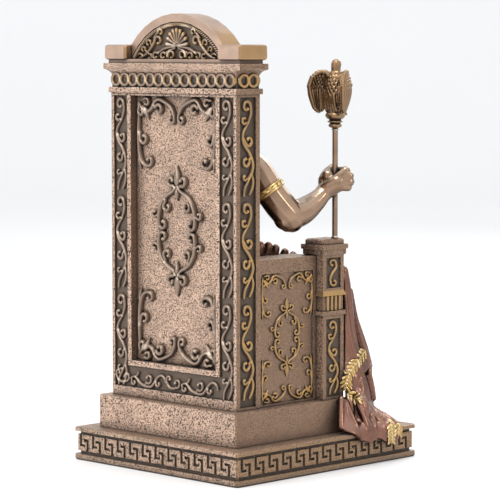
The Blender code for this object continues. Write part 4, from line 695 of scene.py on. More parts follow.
def bronze_material(name, plain, wash=(0.024, 0.017, 0.013), polish_and_highlight=(0.74, 0.60, 0.48), shine=0.42,
                    metallic=0.7, pits=0.9, reach=0.0018, halo=0.62, gilt_and_warm_glint=None, gilt_and_glint_everywhere=0.0,
                    grain=1.0, side_shade=0.0, under=0.0):
    """Bronze powder in resin: dark wash left in the hollows, rubbed edges, pits and a fine grain.

    Colours are linear. The reach of the wash is in metres; the other values are shares.
    Painted light lies over this: painted shade under faces, at outlines as seen from the camera and on faces
    towards -X, a painted highlight on upward faces, and the gold on the -X side, which stands partly for a
    warm glint.
    """
    made = Material(name)
    hollow = made.node("ShaderNodeAmbientOcclusion", "AO", {"samples": 8}, Distance=reach)
    deep = made.node("ShaderNodeAmbientOcclusion", "AO", {"samples": 8}, Distance=reach * 5.0)
    edge = made.node("ShaderNodeAmbientOcclusion", "AO", {"samples": 8, "inside": True}, Distance=0.0008)
    blotch = made.noise(70.0, 3.0)
    speckle = made.noise(1300.0, 2.0, 0.6)
    pit = made.noise(1708.0, 1.0, 0.4).smooth(0.52, 0.585) * (0.45 + 0.9 * blotch) * pits
    shade = (1.0 - hollow).smooth(0.12, 0.6)
    ring = (1.0 - deep).smooth(0.05, 0.45) * halo
    colour = made.mix(blotch.smooth(0.35, 0.65), opaque(plain, 0.86), opaque(plain, 1.06))
    colour = made.mix(speckle.smooth(0.35, 0.75) * 0.4 * grain, colour, opaque(plain, 0.55))
    rub = (1.0 - edge).smooth(0.2, 0.75) * 0.8
    colour = made.mix(rub, colour, opaque(polish_and_highlight))
    # Painted light by how a face turns, scaled by under: undersides darkened as painted shade, upward faces
    # lightened towards the polish colour as a painted highlight. The polish colour also serves the rubbed
    # edges above.
    normal = made.node("ShaderNodeNewGeometry", "Normal")
    rise = made.node("ShaderNodeSeparateXYZ", "Z", Vector=normal)
    below = (0.35 - rise).smooth(0.0, 1.2) * under
    colour = made.mix(below, colour, opaque(plain, 0.22))
    painted_top_highlight = rise.smooth(0.25, 0.95) * under
    colour = made.mix(painted_top_highlight * 0.6, colour, opaque(polish_and_highlight))
    # Painted shade at the outlines: faces turned square to the camera's fixed line of sight, and not up or
    # down, are darkened, while faces towards or away from it stay light.
    across = made.node("ShaderNodeSeparateXYZ", "X", Vector=normal)
    ahead = made.node("ShaderNodeSeparateXYZ", "Y", Vector=normal)
    camera_facing = ahead * 0.709 - across * 0.705
    turned = 1.0 - (camera_facing * camera_facing + rise * rise * 0.25).smooth(0.02, 0.6)
    colour = made.mix(turned * under * 0.9, colour, opaque(plain, 0.12))
    # Painted shade with a warm cast on the faces turned towards -X, as strong as side_shade; the pits are
    # faded there along with it.
    facing = (across * -1.0).smooth(0.15, 0.8)
    red, green, blue = plain
    colour = made.mix(facing * side_shade, colour, (red * 0.26, green * 0.205, blue * 0.14, 1.0))
    pit = pit * (1.0 - facing * (0.6 * side_shade))
    # Gold on the rubbed edges, and spread over whole faces where asked, kept to the faces turned towards -X:
    # gilding, and a warm painted glint of light on that side.
    if gilt_and_warm_glint:
        gold = facing * (rub + gilt_and_glint_everywhere * (0.5 + blotch))
        colour = made.mix(gold.smooth(0.0, 1.0), colour, opaque(gilt_and_warm_glint))
    colour = made.mix(ring, colour, opaque(plain, 0.3))
    dark = (shade + pit - shade * pit).smooth(0.0, 1.0)
    made.set("Base Color", made.mix(dark, colour, opaque(wash)))
    made.set("Metallic", metallic * (1.0 - 0.7 * dark))
    made.set("Roughness", shine + 0.25 * dark + 0.2 * (speckle - 0.5) + 0.15 * (blotch - 0.5))
    height = speckle * 0.3 * grain - pit
    bump = made.node("ShaderNodeBump", "Normal", Height=height, Strength=0.6, Distance=0.00015)
    made.set("Normal", bump)
    return made.material


# Plinth

def make_plinth_shape():
    """Stepped slab with a raised key pattern on its four sides."""
    half_x = PLINTH_WIDTH / 2
    half_y = PLINTH_DEPTH / 2
    face = KEY_INSET
    ground = KEY_INSET + KEY_DEPTH
    band_foot = PLINTH_FOOT_HEIGHT
    band_top = band_foot + KEY_BAND_HEIGHT
    corner = PLINTH_CORNER_CUT

    def ring(inset, height, cut=corner):
        return (half_x - inset, half_y - inset, height, cut)

    plinth = stack_object("plinth", (0, 0), [
        ring(0.9, 0.0), ring(0.0, 0.9), ring(0.0, band_foot), ring(ground, band_foot),
        ring(ground, band_foot + KEY_MARGIN), ring(face, band_foot + KEY_MARGIN),
        ring(face, band_top - KEY_MARGIN), ring(ground, band_top - KEY_MARGIN),
        ring(ground, band_top), ring(0.0, band_top), ring(0.0, PLINTH_TOP - 0.6),
        ring(0.6, PLINTH_TOP), ])
    cutter = bmesh.new()
    height = KEY_BAND_HEIGHT - 2 * KEY_MARGIN
    foot = band_foot + KEY_MARGIN
    walls = (
        (KEY_COUNT_BACK, half_x - face, (0, half_y - face), (-1, 0, 0), (0, 1, 0)),
        (KEY_COUNT_BACK, half_x - face, (0, face - half_y), (1, 0, 0), (0, -1, 0)),
        (KEY_COUNT_SIDE, half_y - face, (half_x - face, 0), (0, 1, 0), (1, 0, 0)),
        (KEY_COUNT_SIDE, half_y - face, (face - half_x, 0), (0, -1, 0), (-1, 0, 0)),
    )
    for keys, half_run, middle, across, outward in walls:
        place = panel_frame((*middle, foot), across, outward)
        margin = 2.2 * corner
        pitch = 2 * (half_run - margin) / keys
        for i in range(keys):
            left = margin - half_run + i * pitch
            key_groove_into(cutter, place, left, pitch, height)
    combine(plinth, new_object("key_grooves", cutter), "DIFFERENCE")
    round_edges(plinth, PLINTH_ROUNDING)
    return plinth


def key_groove_into(builder, place, left, pitch, height):
    """Two interlocked hooks of groove: one from the top, one from the foot."""
    past = 0.5
    from_top = ((0.0, 1.0 + past / height), (0.0, 0.26), (0.43, 0.26), (0.43, 0.42),
                (0.18, 0.42), (0.18, 1.0 + past / height))
    from_foot = ((0.55, -past / height), (0.73, -past / height), (0.73, 0.75), (0.31, 0.75),
                 (0.31, 0.59), (0.55, 0.59))
    for hook in (from_top, from_foot):
        outline = [(left + x * pitch, y * height) for x, y in hook]
        prism_into(builder, outline, place, -KEY_DEPTH, 0.5)


# Throne

def throne_body():
    """Pedestal, back, cornice, arms, posts and seat as one casting."""
    half = PEDESTAL_WIDTH / 2
    middle_y = (PEDESTAL_BACK_Y + PEDESTAL_FRONT_Y) / 2
    half_y = (PEDESTAL_BACK_Y - PEDESTAL_FRONT_Y) / 2
    foot = PLINTH_TOP
    body = stack_object("throne", (0, middle_y), [
        (half, half_y, foot, 0.8), (half, half_y, PEDESTAL_TOP - 0.5, 0.8),
        (half - 0.5, half_y - 0.5, PEDESTAL_TOP, 0.8),
    ])
    back_half = BACK_WIDTH / 2
    combine(body, box_object("back", [
        ((-back_half, BACK_FRONT_Y, PEDESTAL_TOP - SUNK), (back_half, BACK_REAR_Y, BACK_TOP + SUNK)),
    ]), "UNION")
    combine(body, cornice_bands(), "UNION")
    for side in (-1, 1):
        combine(body, arm_and_post(side), "UNION")
    seat_half = POST_OUTER_X - POST_WIDTH
    combine(body, box_object("seat", [
        ((-seat_half - SUNK, SEAT_FRONT_Y, PEDESTAL_TOP - SUNK),
         (seat_half + SUNK, BACK_FRONT_Y + SUNK, SEAT_TOP_Z)),
    ]), "UNION")
    return body


def cornice_bands():
    """Neck band, hollow frieze, shelf and recess, from below upwards."""
    middle_y = (BACK_REAR_Y + BACK_FRONT_Y) / 2
    half_x = BACK_WIDTH / 2
    half_y = BACK_THICKNESS / 2
    rings = [(half_x + NECK_OVERHANG, half_y + NECK_OVERHANG, BACK_TOP, 0),
             (half_x + NECK_OVERHANG, half_y + NECK_OVERHANG, FRIEZE_FOOT, 0)]
    flare = ((0.0, 0.0), (0.62, 0.0), (0.74, 0.1), (0.85, 0.34), (0.94, 0.7), (1.0, 1.0))
    for height, grow in ((FRIEZE_HEIGHT * rise, FRIEZE_FLARE * share) for rise, share in flare):
        inset = FRIEZE_SET_IN - grow
        rings.append((half_x - inset, half_y - inset, FRIEZE_FOOT + height, 0))
    shelf_x = SHELF_HALF_WIDTH
    shelf_y = half_y + (SHELF_BEHIND + SHELF_FRONT) / 2
    rings.append((shelf_x, shelf_y, SHELF_FOOT + 1.0, 0))
    rings.append((shelf_x, shelf_y, SHELF_TOP, 0))
    rings.append((shelf_x - SHELF_LIP, shelf_y - SHELF_LIP, SHELF_TOP, 0))
    rings.append((shelf_x - SHELF_LIP, shelf_y - SHELF_LIP, BLOCK_FOOT + 0.5, 0))
    return stack_object("cornice", (0, middle_y), rings)


def arm_and_post(side):
    """One arm wall with its rail, and the post with its banded cap."""
    outer = side * ARM_OUTER_X
    inner = side * (ARM_OUTER_X - ARM_WIDTH)
    low_x, high_x = min(outer, inner), max(outer, inner)
    arm = box_object("arm", [
        ((low_x, ARM_FRONT_Y - SUNK, PEDESTAL_TOP - SUNK), (high_x, BACK_FRONT_Y + SUNK, ARM_TOP_Z)),
    ])
    middle = (side * (POST_OUTER_X - POST_WIDTH / 2), (POST_REAR_Y + POST_FRONT_Y) / 2)
    half = (POST_WIDTH / 2, POST_DEPTH / 2)
    neck = POST_SHAFT_TOP + CAP_NECK_HEIGHT
    slab = neck + CAP_SLAB_HEIGHT
    band = TONGUE_BAND_Z
    band_top = band + TONGUE_BAND_HEIGHT

    def ring(grow, height):
        return (half[0] + grow, half[1] + grow, height, 0)

    post = stack_object("post", middle, [
        ring(0.0, PEDESTAL_TOP - SUNK), ring(0.0, band), ring(0.9, band + 0.6),
        ring(0.9, band + 2.9), ring(-0.4, band + 2.9), ring(-0.4, band_top - 2.9),
        ring(1.1, band_top - 2.9), ring(0.0, band_top),
        ring(0.0, POST_SHAFT_TOP), ring(1.0, POST_SHAFT_TOP + 0.8), ring(1.0, neck),
        ring(CAP_FLARE, neck), ring(CAP_FLARE, slab), ring(0.0, slab),
        ring(0.0, CAP_TOP - 0.9), ring(-0.9, CAP_TOP), ])
    combine(post, arm, "UNION")
    return post


def sink_panels(body):
    """Cut the border channels and the panels on the back, sides, arms and posts."""
    back = BACK_REAR_Y
    top = PANEL_TOP_Z
    boxes = [((-PANEL_HALF_WIDTH, back - PANEL_DEPTH, PANEL_FOOT_Z), (PANEL_HALF_WIDTH, back + PAST, top))]
    frame_foot = PANEL_FOOT_Z - FRAME_STRIP
    for side in (-1, 1):
        inner = side * BORDER_INNER_X
        outer = side * BORDER_OUTER_X
        boxes.append(((min(inner, outer), back - BORDER_DEPTH, BORDER_FOOT_Z),
                      (max(inner, outer), back + PAST, top)))
    boxes.append(((-BORDER_INNER_X - PAST, back - BORDER_DEPTH, BORDER_FOOT_Z),
                  (BORDER_INNER_X + PAST, back + PAST, frame_foot)))
    for side in (-1, 1):
        boxes.append(side_box(side, BACK_WIDTH / 2, BORDER_DEPTH,
                              (BACK_FRONT_Y + SIDE_STRIP, BACK_REAR_Y - SIDE_STRIP),
                              (PEDESTAL_TOP + 1.6, top)))
        boxes.append(side_box(side, ARM_OUTER_X, ARM_PANEL_DEPTH,
                              (ARM_FRONT_Y + ARM_PANEL_MARGIN, BACK_FRONT_Y - ARM_PANEL_MARGIN),
                              (PEDESTAL_TOP + 1.4, ARM_TOP_Z - ARM_RAIL_HEIGHT)))
        across = (POST_FRONT_Y + POST_MARGIN, POST_REAR_Y - POST_MARGIN)
        boxes.append(side_box(side, POST_OUTER_X, POST_PANEL_DEPTH, across,
                              (PEDESTAL_TOP + 1.6, TONGUE_BAND_Z - 1.6)))
        boxes.append(side_box(side, POST_OUTER_X, POST_PANEL_DEPTH, across,
                              (TONGUE_BAND_Z + TONGUE_BAND_HEIGHT + 1.4, POST_SHAFT_TOP - 1.2)))
    combine(body, box_object("panels", boxes), "DIFFERENCE")


def side_box(side, face_x, depth, across, heights):
    """A shallow box cut into a wall that faces sideways."""
    inner = side * (face_x - depth)
    outer = side * (face_x + PAST)
    return ((min(inner, outer), across[0], heights[0]), (max(inner, outer), across[1], heights[1]))


def add_cornice_blocks(body):
    """Two rounded blocks on the shelf, at the foot of the arch."""
    middle_y = (SHELF_REAR_Y + SHELF_FRONT_Y) / 2
    half_y = (SHELF_REAR_Y - SHELF_FRONT_Y) / 2
    half_x = (SHELF_HALF_WIDTH - BLOCK_INNER_X) / 2
    for side in (-1, 1):
        centre = (side * (BLOCK_INNER_X + half_x), middle_y)
        rings = []
        for step in range(11):
            angle = math.radians(18 * min(step, 5) if step < 6 else 18 * (10 - step))
            inset = BLOCK_ROUNDING * (1 - math.sin(angle))
            rise = BLOCK_ROUNDING * (1 - math.cos(angle))
            height = BLOCK_FOOT + rise if step < 6 else BLOCK_TOP - rise
            rings.append((half_x - inset, half_y - inset, height, 1.2))
        block = stack_object("block", centre, rings)
        combine(body, block, "UNION")


def arch_arc(inset, half_span):
    """Points of an arc inside the arch's outer edge, from its left end to its right."""
    reach = ARCH_RADIUS - inset
    centre_z = BLOCK_TOP + ARCH_RISE - ARCH_RADIUS
    limit = math.asin(half_span / reach)
    angles = [limit * (2 * i / ARCH_STEPS - 1) for i in range(ARCH_STEPS + 1)]
    return [(reach * math.sin(angle), centre_z + reach * math.cos(angle)) for angle in angles]


def arch_outline(inset, half_span, foot):
    """The arc closed by two upright sides down to its foot."""
    return [(half_span, foot), (-half_span, foot)] + arch_arc(inset, half_span)


def add_arch(body):
    """Arched top with a sunk tympanum; carve_cornice lays its rope moulding, shell and scrolls."""
    place = panel_frame((0, ARCH_REAR_Y, 0), (-1, 0, 0), (0, 1, 0))
    builder = bmesh.new()
    outline = arch_outline(0.0, BLOCK_INNER_X + 0.5, SHELF_TOP - 0.4)
    prism_into(builder, outline, place, -ARCH_DEPTH, 0.0)
    combine(body, new_object("arch", builder), "UNION")
    builder = bmesh.new()
    half_span = BLOCK_INNER_X - ARCH_CORNER_MARGIN
    outline = arch_outline(ARCH_BAND, half_span, SHELF_TOP + 1.0)
    prism_into(builder, outline, place, -TYMPANUM_DEPTH, PAST)
    combine(body, new_object("tympanum", builder), "DIFFERENCE")


# Carving on the walls

def back_place(x, depth, z):
    """Flat drawing on the back wall, as deep under its outer face; its X runs right as seen from behind."""
    return panel_frame((x, BACK_REAR_Y - depth, z), (-1, 0, 0), (0, 1, 0))


def carve_back(finish):
    """Vines, wave, corner scrolls and cartouche on the back wall."""
    column = Scrolls(back_place(0.0, BORDER_DEPTH, 0.0), height=1.75, width=0.92)
    middle = (BORDER_INNER_X + BORDER_OUTER_X) / 2
    for side in (-1, 1):
        column.place = back_place(side * middle, BORDER_DEPTH, 0.0)
        draw_vine(column, 3, 0.86, PANEL_TOP_Z - 0.4)
    column.place = back_place(0.0, BORDER_DEPTH, 0.0)
    for shift in (0.0, -WAVE_REPEAT):
        draw_wave_repeat(column, shift)
    column.piece("back_border_scrolls", finish, "throne_bronze")
    panel = Scrolls(back_place(0.0, PANEL_DEPTH, 0.0), height=2.7, width=1.12)
    for side in (-1, 1):
        for rise, corner_z in ((1, PANEL_FOOT_Z), (-1, PANEL_TOP_Z)):
            panel.at((-side * 0.95, rise), (side * (PANEL_HALF_WIDTH - CORNER_INSET), corner_z))
            draw_corner(panel)
    draw_cartouche(panel, (0.0, (PANEL_FOOT_Z + PANEL_TOP_Z) / 2), (1.0, 1.0))
    panel.piece("back_panel_scrolls", finish, "throne_bronze")


def carve_sides(finish):
    """Vines up the sides of the back, ovals on the arms and scrolls on the posts."""
    side_vine = Scrolls(None, height=1.75, width=0.95)
    arm = Scrolls(None, height=1.5, width=0.66)
    post = Scrolls(None, height=1.4, width=0.8)
    for side in (-1, 1):
        across = (0, side, 0)
        outward = (side, 0, 0)
        middle = (BACK_FRONT_Y + BACK_REAR_Y) / 2
        side_vine.place = panel_frame((side * (BACK_WIDTH / 2 - BORDER_DEPTH), middle, 0), across, outward)
        draw_vine(side_vine, 3, 0.9, PANEL_TOP_Z - 0.6)
        middle = (ARM_FRONT_Y + BACK_FRONT_Y) / 2
        half_run = (BACK_FRONT_Y - ARM_FRONT_Y) / 2 - ARM_PANEL_MARGIN
        arm.place = panel_frame((side * (ARM_OUTER_X - ARM_PANEL_DEPTH), middle, 0), across, outward)
        low = PEDESTAL_TOP + 1.4
        high = ARM_TOP_Z - ARM_RAIL_HEIGHT
        for end in (-1, 1):
            for rise, corner_z in ((1, low), (-1, high)):
                arm.at((-end * 0.6, rise * 0.6), (end * half_run, corner_z))
                draw_corner(arm)
        draw_cartouche(arm, (0.0, (low + high) / 2), (0.66, 0.6))
        middle = (POST_FRONT_Y + POST_REAR_Y) / 2
        post.place = panel_frame((side * (POST_OUTER_X - POST_PANEL_DEPTH), middle, 0), across, outward)
        carve_post(post)
        middle = side * (POST_OUTER_X - POST_WIDTH / 2)
        post.place = panel_frame((middle, POST_FRONT_Y + POST_PANEL_DEPTH, 0), (1, 0, 0), (0, -1, 0))
        carve_post(post)
    side_vine.piece("side_vines", finish, "throne_bronze")
    arm.piece("arm_scrolls", finish, "throne_bronze")
    post.piece("post_scrolls", finish, "throne_bronze")


def carve_post(post):
    """Vine in the tall panel, tongues in the band and a hook in the upper panel."""
    post.at((0.82, 0.8), (0.0, TONGUE_BAND_Z - 2.0))
    draw_vine_repeat(post)
    post.at((0.8, 0.62), (0.0, POST_SHAFT_TOP - 1.4))
    post.stroke([(2.9, -9.0), (-1.6, -15.0), (-3.4, -20.0)], ((0.6, -22.8), 3.6, 160, 260),
                ((-0.8, -4.8), 3.6, -10, 270))
    low = TONGUE_BAND_Z + 3.4
    high = TONGUE_BAND_Z + TONGUE_BAND_HEIGHT - 3.2
    pitch = (POST_WIDTH - 1.0) / TONGUES
    for i in range(TONGUES):
        at = (i - (TONGUES - 1) / 2) * pitch
        strand_into(post.builder, [(at, low), (at, (low + high) / 2), (at, high)], 1.15, 2.0, post.place,
                    lambda t: 0.62 + 0.38 * t)


def carve_cornice(finish):
    """Rings in the frieze; rope, shell and scrolls in the arched top."""
    rings = Scrolls(None, height=1.6, width=RING_STRAND / 2)
    middle_z = FRIEZE_FOOT + (FRIEZE_HEIGHT - FRIEZE_FLARE) / 2 + 0.5
    middle_y = (BACK_REAR_Y + BACK_FRONT_Y) / 2
    walls = [(RING_COUNT_BACK, (0, BACK_REAR_Y - FRIEZE_SET_IN, middle_z), (-1, 0, 0), (0, 1, 0)),
             (RING_COUNT_BACK, (0, BACK_FRONT_Y + FRIEZE_SET_IN, middle_z), (1, 0, 0), (0, -1, 0))]
    for side in (-1, 1):
        walls.append((RING_COUNT_SIDE, (side * (BACK_WIDTH / 2 - FRIEZE_SET_IN), middle_y, middle_z),
                      (0, side, 0), (side, 0, 0)))
    for count, origin, across, outward in walls:
        rings.place = panel_frame(origin, across, outward)
        for i in range(count):
            at = (i - (count - 1) / 2) * RING_PITCH
            ring_into(rings, (at, 0.0), (RING_PITCH / 2 - 0.2, RING_HEIGHT / 2 - 0.9))
    rings.piece("frieze_rings", finish, "throne_bronze")
    place = panel_frame((0, ARCH_REAR_Y - TYMPANUM_DEPTH, 0), (-1, 0, 0), (0, 1, 0))
    relief = Scrolls(place, height=2.0, width=0.84)
    rope_into(relief, arch_arc(ARCH_BAND + ROPE_RADIUS * 1.25, BLOCK_INNER_X - ARCH_CORNER_MARGIN - 1.0),
              ROPE_RADIUS)
    shell_into(relief)
    draw_tympanum(relief)
    relief.piece("arch_relief", finish, "throne_bronze")


def tube_into(builder, route, sides=12, squash=1.0, squash_axis=(0, 0, 1)):
    """Round limb through (x, y, z, radius) points, closed by rounded ends."""
    centres = spline([point[:3] for point in route], 2.4)
    sizes = spline([(i, point[3], 0) for i, point in enumerate(route)], 0.1)
    count = len(centres)
    radii = [sizes[round(i * (len(sizes) - 1) / (count - 1))].y for i in range(count)]
    first = (centres[1] - centres[0]).normalized()
    last = (centres[-1] - centres[-2]).normalized()
    stations = []
    for back in (0.95, 0.6):
        stations.append((centres[0] - first * radii[0] * back, radii[0] * math.sqrt(1 - back * back)))
    stations += list(zip(centres, radii))
    for ahead in (0.6, 0.95):
        stations.append((centres[-1] + last * radii[-1] * ahead, radii[-1] * math.sqrt(1 - ahead * ahead)))
    flat = Vector(squash_axis).normalized()
    side = first.orthogonal().normalized()
    loops = []
    for i, (centre, radius) in enumerate(stations):
        ahead = stations[min(i + 1, len(stations) - 1)][0]
        behind = stations[max(i - 1, 0)][0]
        along = (ahead - behind).normalized()
        side = (side - along * side.dot(along)).normalized()
        other = along.cross(side)
        loop = []
        for j in range(sides):
            angle = 2 * math.pi * j / sides
            reach = (side * math.cos(angle) + other * math.sin(angle)) * radius
            reach -= flat * reach.dot(flat) * (1 - squash)
            loop.append(builder.verts.new(centre + reach))
        loops.append(loop)
    for near, far in zip(loops, loops[1:]):
        for j in range(sides):
            k = (j + 1) % sides
            builder.faces.new((near[j], near[k], far[k], far[j]))
    builder.faces.new(list(reversed(loops[0])))
    builder.faces.new(loops[-1])


def blob_into(builder, middle, radii, tilt=(0, 0, 0), fine=3):
    """Ellipsoid, tilted by degrees about X, Y and Z."""
    turn = Matrix.Rotation(math.radians(tilt[2]), 4, "Z")
    turn = turn @ Matrix.Rotation(math.radians(tilt[1]), 4, "Y")
    turn = turn @ Matrix.Rotation(math.radians(tilt[0]), 4, "X")
    place = Matrix.Translation(Vector(middle)) @ turn @ Matrix.Diagonal((*radii, 1.0))
    bmesh.ops.create_icosphere(builder, subdivisions=fine, radius=1.0, matrix=place)


def melt(item, voxel, smoothing, triangles):
    """Fuse the overlapping forms, soften them and thin the mesh to a number of triangles."""
    fuse = item.modifiers.new("fuse", "REMESH")
    fuse.mode = "VOXEL"
    fuse.voxel_size = voxel
    soften = item.modifiers.new("soften", "SMOOTH")
    soften.factor = 0.5
    soften.iterations = smoothing
    apply_modifiers(item)
    thin = item.modifiers.new("thin", "DECIMATE")
    count = sum(len(face.vertices) - 2 for face in item.data.polygons)
    thin.ratio = min(1.0, triangles / count)
    thin.use_collapse_triangulate = True
    apply_modifiers(item)


def sheet_into(builder, rows, thick, step=2.0):
    """Cloth of even thickness through rows of points, each row spread along its own curve."""
    lines = [spline(row, step) for row in rows]
    count = max(len(line) for line in lines)
    even = []
    for line in lines:
        even.append([line[round(i * (len(line) - 1) / (count - 1))] for i in range(count)])
    columns = [spline([line[i] for line in even], step) for i in range(count)]
    height = max(len(column) for column in columns)
    grid = []
    for column in columns:
        grid.append([column[round(j * (len(column) - 1) / (height - 1))] for j in range(height)])
    sides = []
    for push in (-thick / 2, thick / 2):
        layer = []
        for i in range(count):
            strip = []
            for j in range(height):
                over = grid[min(i + 1, count - 1)][j] - grid[max(i - 1, 0)][j]
                down = grid[i][min(j + 1, height - 1)] - grid[i][max(j - 1, 0)]
                strip.append(builder.verts.new(grid[i][j] + over.cross(down).normalized() * push))
            layer.append(strip)
        sides.append(layer)
    near, far = sides
    for i in range(count - 1):
        for j in range(height - 1):
            builder.faces.new((near[i][j], near[i + 1][j], near[i + 1][j + 1], near[i][j + 1]))
            builder.faces.new((far[i][j], far[i][j + 1], far[i + 1][j + 1], far[i + 1][j]))
    border = [(i, 0) for i in range(count)] + [(count - 1, j) for j in range(1, height)]
    border += [(i, height - 1) for i in range(count - 2, -1, -1)]
    border += [(0, j) for j in range(height - 2, 0, -1)]
    for a, b in zip(border, border[1:] + border[:1]):
        builder.faces.new((near[a[0]][a[1]], far[a[0]][a[1]], far[b[0]][b[1]], near[b[0]][b[1]]))


# Figure

def torso_into(builder):
    """Bare chest, belly, shoulders and neck of a strong seated man, leaning back a little."""
    blob_into(builder, (0, 20, 108), (25, 19, 15))
    blob_into(builder, (0, 21, 128), (19, 13, 17))
    blob_into(builder, (0, 20, 150), (23, 14, 20))
    for side in (-1, 1):
        blob_into(builder, (side * 10, 10.5, 165), (12, 6, 8.5), (12, 0, side * 8))
        blob_into(builder, (side * 13, 29, 162), (11, 6, 16))
        blob_into(builder, (side * 25, 25, 174), (9, 10, 9.5))
        tube_into(builder, [(side * 6, 25, 189, 5.5), (side * 18, 26, 181, 6.5), (side * 26, 26, 176, 7)])
        for row in range(3):
            blob_into(builder, (side * 5.2, 9.4 - row * 0.4, 150 - row * 9.5), (5, 3, 4.6))
    blob_into(builder, (0, 26, 176), (18, 9, 10))
    blob_into(builder, (0, 26, 184), (17, 7, 9))
    blob_into(builder, (0, 17, 172), (17, 8, 9))
    tube_into(builder, [(0, 23, 180, 8.5), (0, 19, 190, 8), (0, 16, 200, 8)])


def right_arm_into(builder):
    """Bent arm that holds the sceptre."""
    tube_into(builder, [(-25, 26, 176, 9), (-32, 23, 170.4, 9.2), (-38, 19.2, 160, 9),
                        (-42, 13.7, 151.1, 9),
                        (-44.6, 10.2, 146, 9.2), (-45, 9.4, 144.4, 8.8)])
    blob_into(builder, (-44.2, 12.4, 143.2), (6.6, 6.6, 6))
    tube_into(builder, [(-45, 8.4, 145.4, 8.6), (-46.2, 0.4, 147.6, 8.3), (-47.4, -5.6, 151, 7),
                        (ROD_X + 3.9, ROD_Y + 9.6, 154.6, 5.7), (ROD_X + 2.6, ROD_Y + 5.3, 158.8, 4.7)])


def fist_into(builder):
    """Right hand closed round the sceptre, back of the hand outward, knuckles forward."""
    blob_into(builder, (-49.6, -17.0, 167.4), (3.8, 3.8, 4.0))
    rod = Vector((ROD_X, ROD_Y, 0))
    outward = Vector((-0.705, 0.709, 0))
    forward = Vector((-0.7096, -0.7046, 0))

    def at(ahead, out, height, radius):
        point = rod + forward * ahead + outward * out
        return (point.x, point.y, height, radius)

    tube_into(builder, [at(-7.6, 1.6, 157.0, 4.7), at(-3.4, 3.0, 160.4, 4.6), at(1.4, 3.6, 163.4, 4.6)],
              squash=1.2)
    knuckles = ((6.0, 170.8, 2.5), (8.0, 167.6, 2.7), (8.4, 164.0, 2.6), (7.2, 160.8, 2.3))
    for i, (ahead, height, radius) in enumerate(knuckles):
        tube_into(builder, [at(-5.4, 2.6, 159.4 + (1.5 - i) * 0.9, 2.6),
                            at(1.0, 4.0, (height + 161.5) / 2, 2.7),
                            at(ahead, 3.2, height, radius)], sides=10)
        tube_into(builder, [at(ahead, 3.2, height, radius),
                            at(ahead + 0.3, -1.4, height - 0.3, radius * 0.94),
                            at(ahead - 4.0, -4.4, height - 0.5, radius * 0.9),
                            at(-1.6, -4.2, height - 0.7, radius * 0.86),
                            at(-3.4, -2.4, height - 0.7, radius * 0.8)], sides=10)
    tube_into(builder, [at(-6.4, 0.6, 160, 3.2), at(-7.0, -1.6, 165.4, 2.7), at(-4.4, -4.0, 169.6, 2.4),
                        at(-1.2, -4.9, 172.2, 2.1)], sides=10)


def left_arm_into(builder):
    """Arm that rests along the throne's arm, hand over its end."""
    tube_into(builder, [(25, 25, 176, 9), (35, 24, 165, 9), (45, 22, 151, 8.6), (49.4, 20, 144.6, 7.6)])
    tube_into(builder, [(49.6, 20, 144.4, 7.6), (51, 10, 142, 7.4), (50, -2, 139.6, 5.6),
                        (48.6, -9, 137.4, 4.4)])
    blob_into(builder, (47.8, -14.5, 135.4), (5.2, 6.8, 3.6))
    for i in range(4):
        x = 43.6 + i * 2.9
        tube_into(builder, [(x, -17, 136, 1.8), (x, -22.4, 135.6, 1.7), (x, -26.4, 132.6, 1.5)], sides=8)
    tube_into(builder, [(43.4, -11, 135.4, 1.9), (40.4, -15.4, 134, 1.7)], sides=8)


def legs_into(builder):
    """Right leg forward and out, left leg drawn in, both feet in sandals."""
    tube_into(builder, [(-16, 14, 104, 14), (-27, -10, 104, 13), (-35, -30, 104, 10.6)])
    tube_into(builder, [(-35, -30.5, 104, 9.6), (-36.6, -35.4, 88, 9.2), (-38.6, -41.6, 66, 8),
                        (-42, -48.4, 42, 5.8), (-43, -50, 31, 5.6)])
    tube_into(builder, [(-43, -45, 25.4, 5.6), (-44.6, -55, 25.4, 5.6), (-46.2, -63.6, 23.6, 4.6),
                        (-47, -67.6, 22.8, 3.4)], squash=0.85)
    tube_into(builder, [(15, 14, 104, 14), (20, -10, 104, 13.4), (23, -29, 104, 11)])
    tube_into(builder, [(23, -30, 104, 10), (23.6, -35, 86, 9.6), (24, -37, 64, 8.2),
                        (24, -37.6, 42, 5.8), (24, -37.6, 31, 5.6)])
    tube_into(builder, [(24, -33.6, 25.4, 5.6), (25, -44, 25, 5.8), (26, -55, 23.4, 4.6),
                        (26.6, -59, 22.6, 3.2)], squash=0.85)
    for heel, toe in (((-43, -45), (-47.2, -69)), ((24, -33.6), (26.8, -59.8))):
        middle = ((heel[0] + toe[0]) / 2 - 0.6, (heel[1] + toe[1]) / 2)
        tube_into(builder, [(*heel, 21.4, 4.6), (*middle, 21.4, 5.8), (*toe, 21.4, 4.2)], squash=0.36)


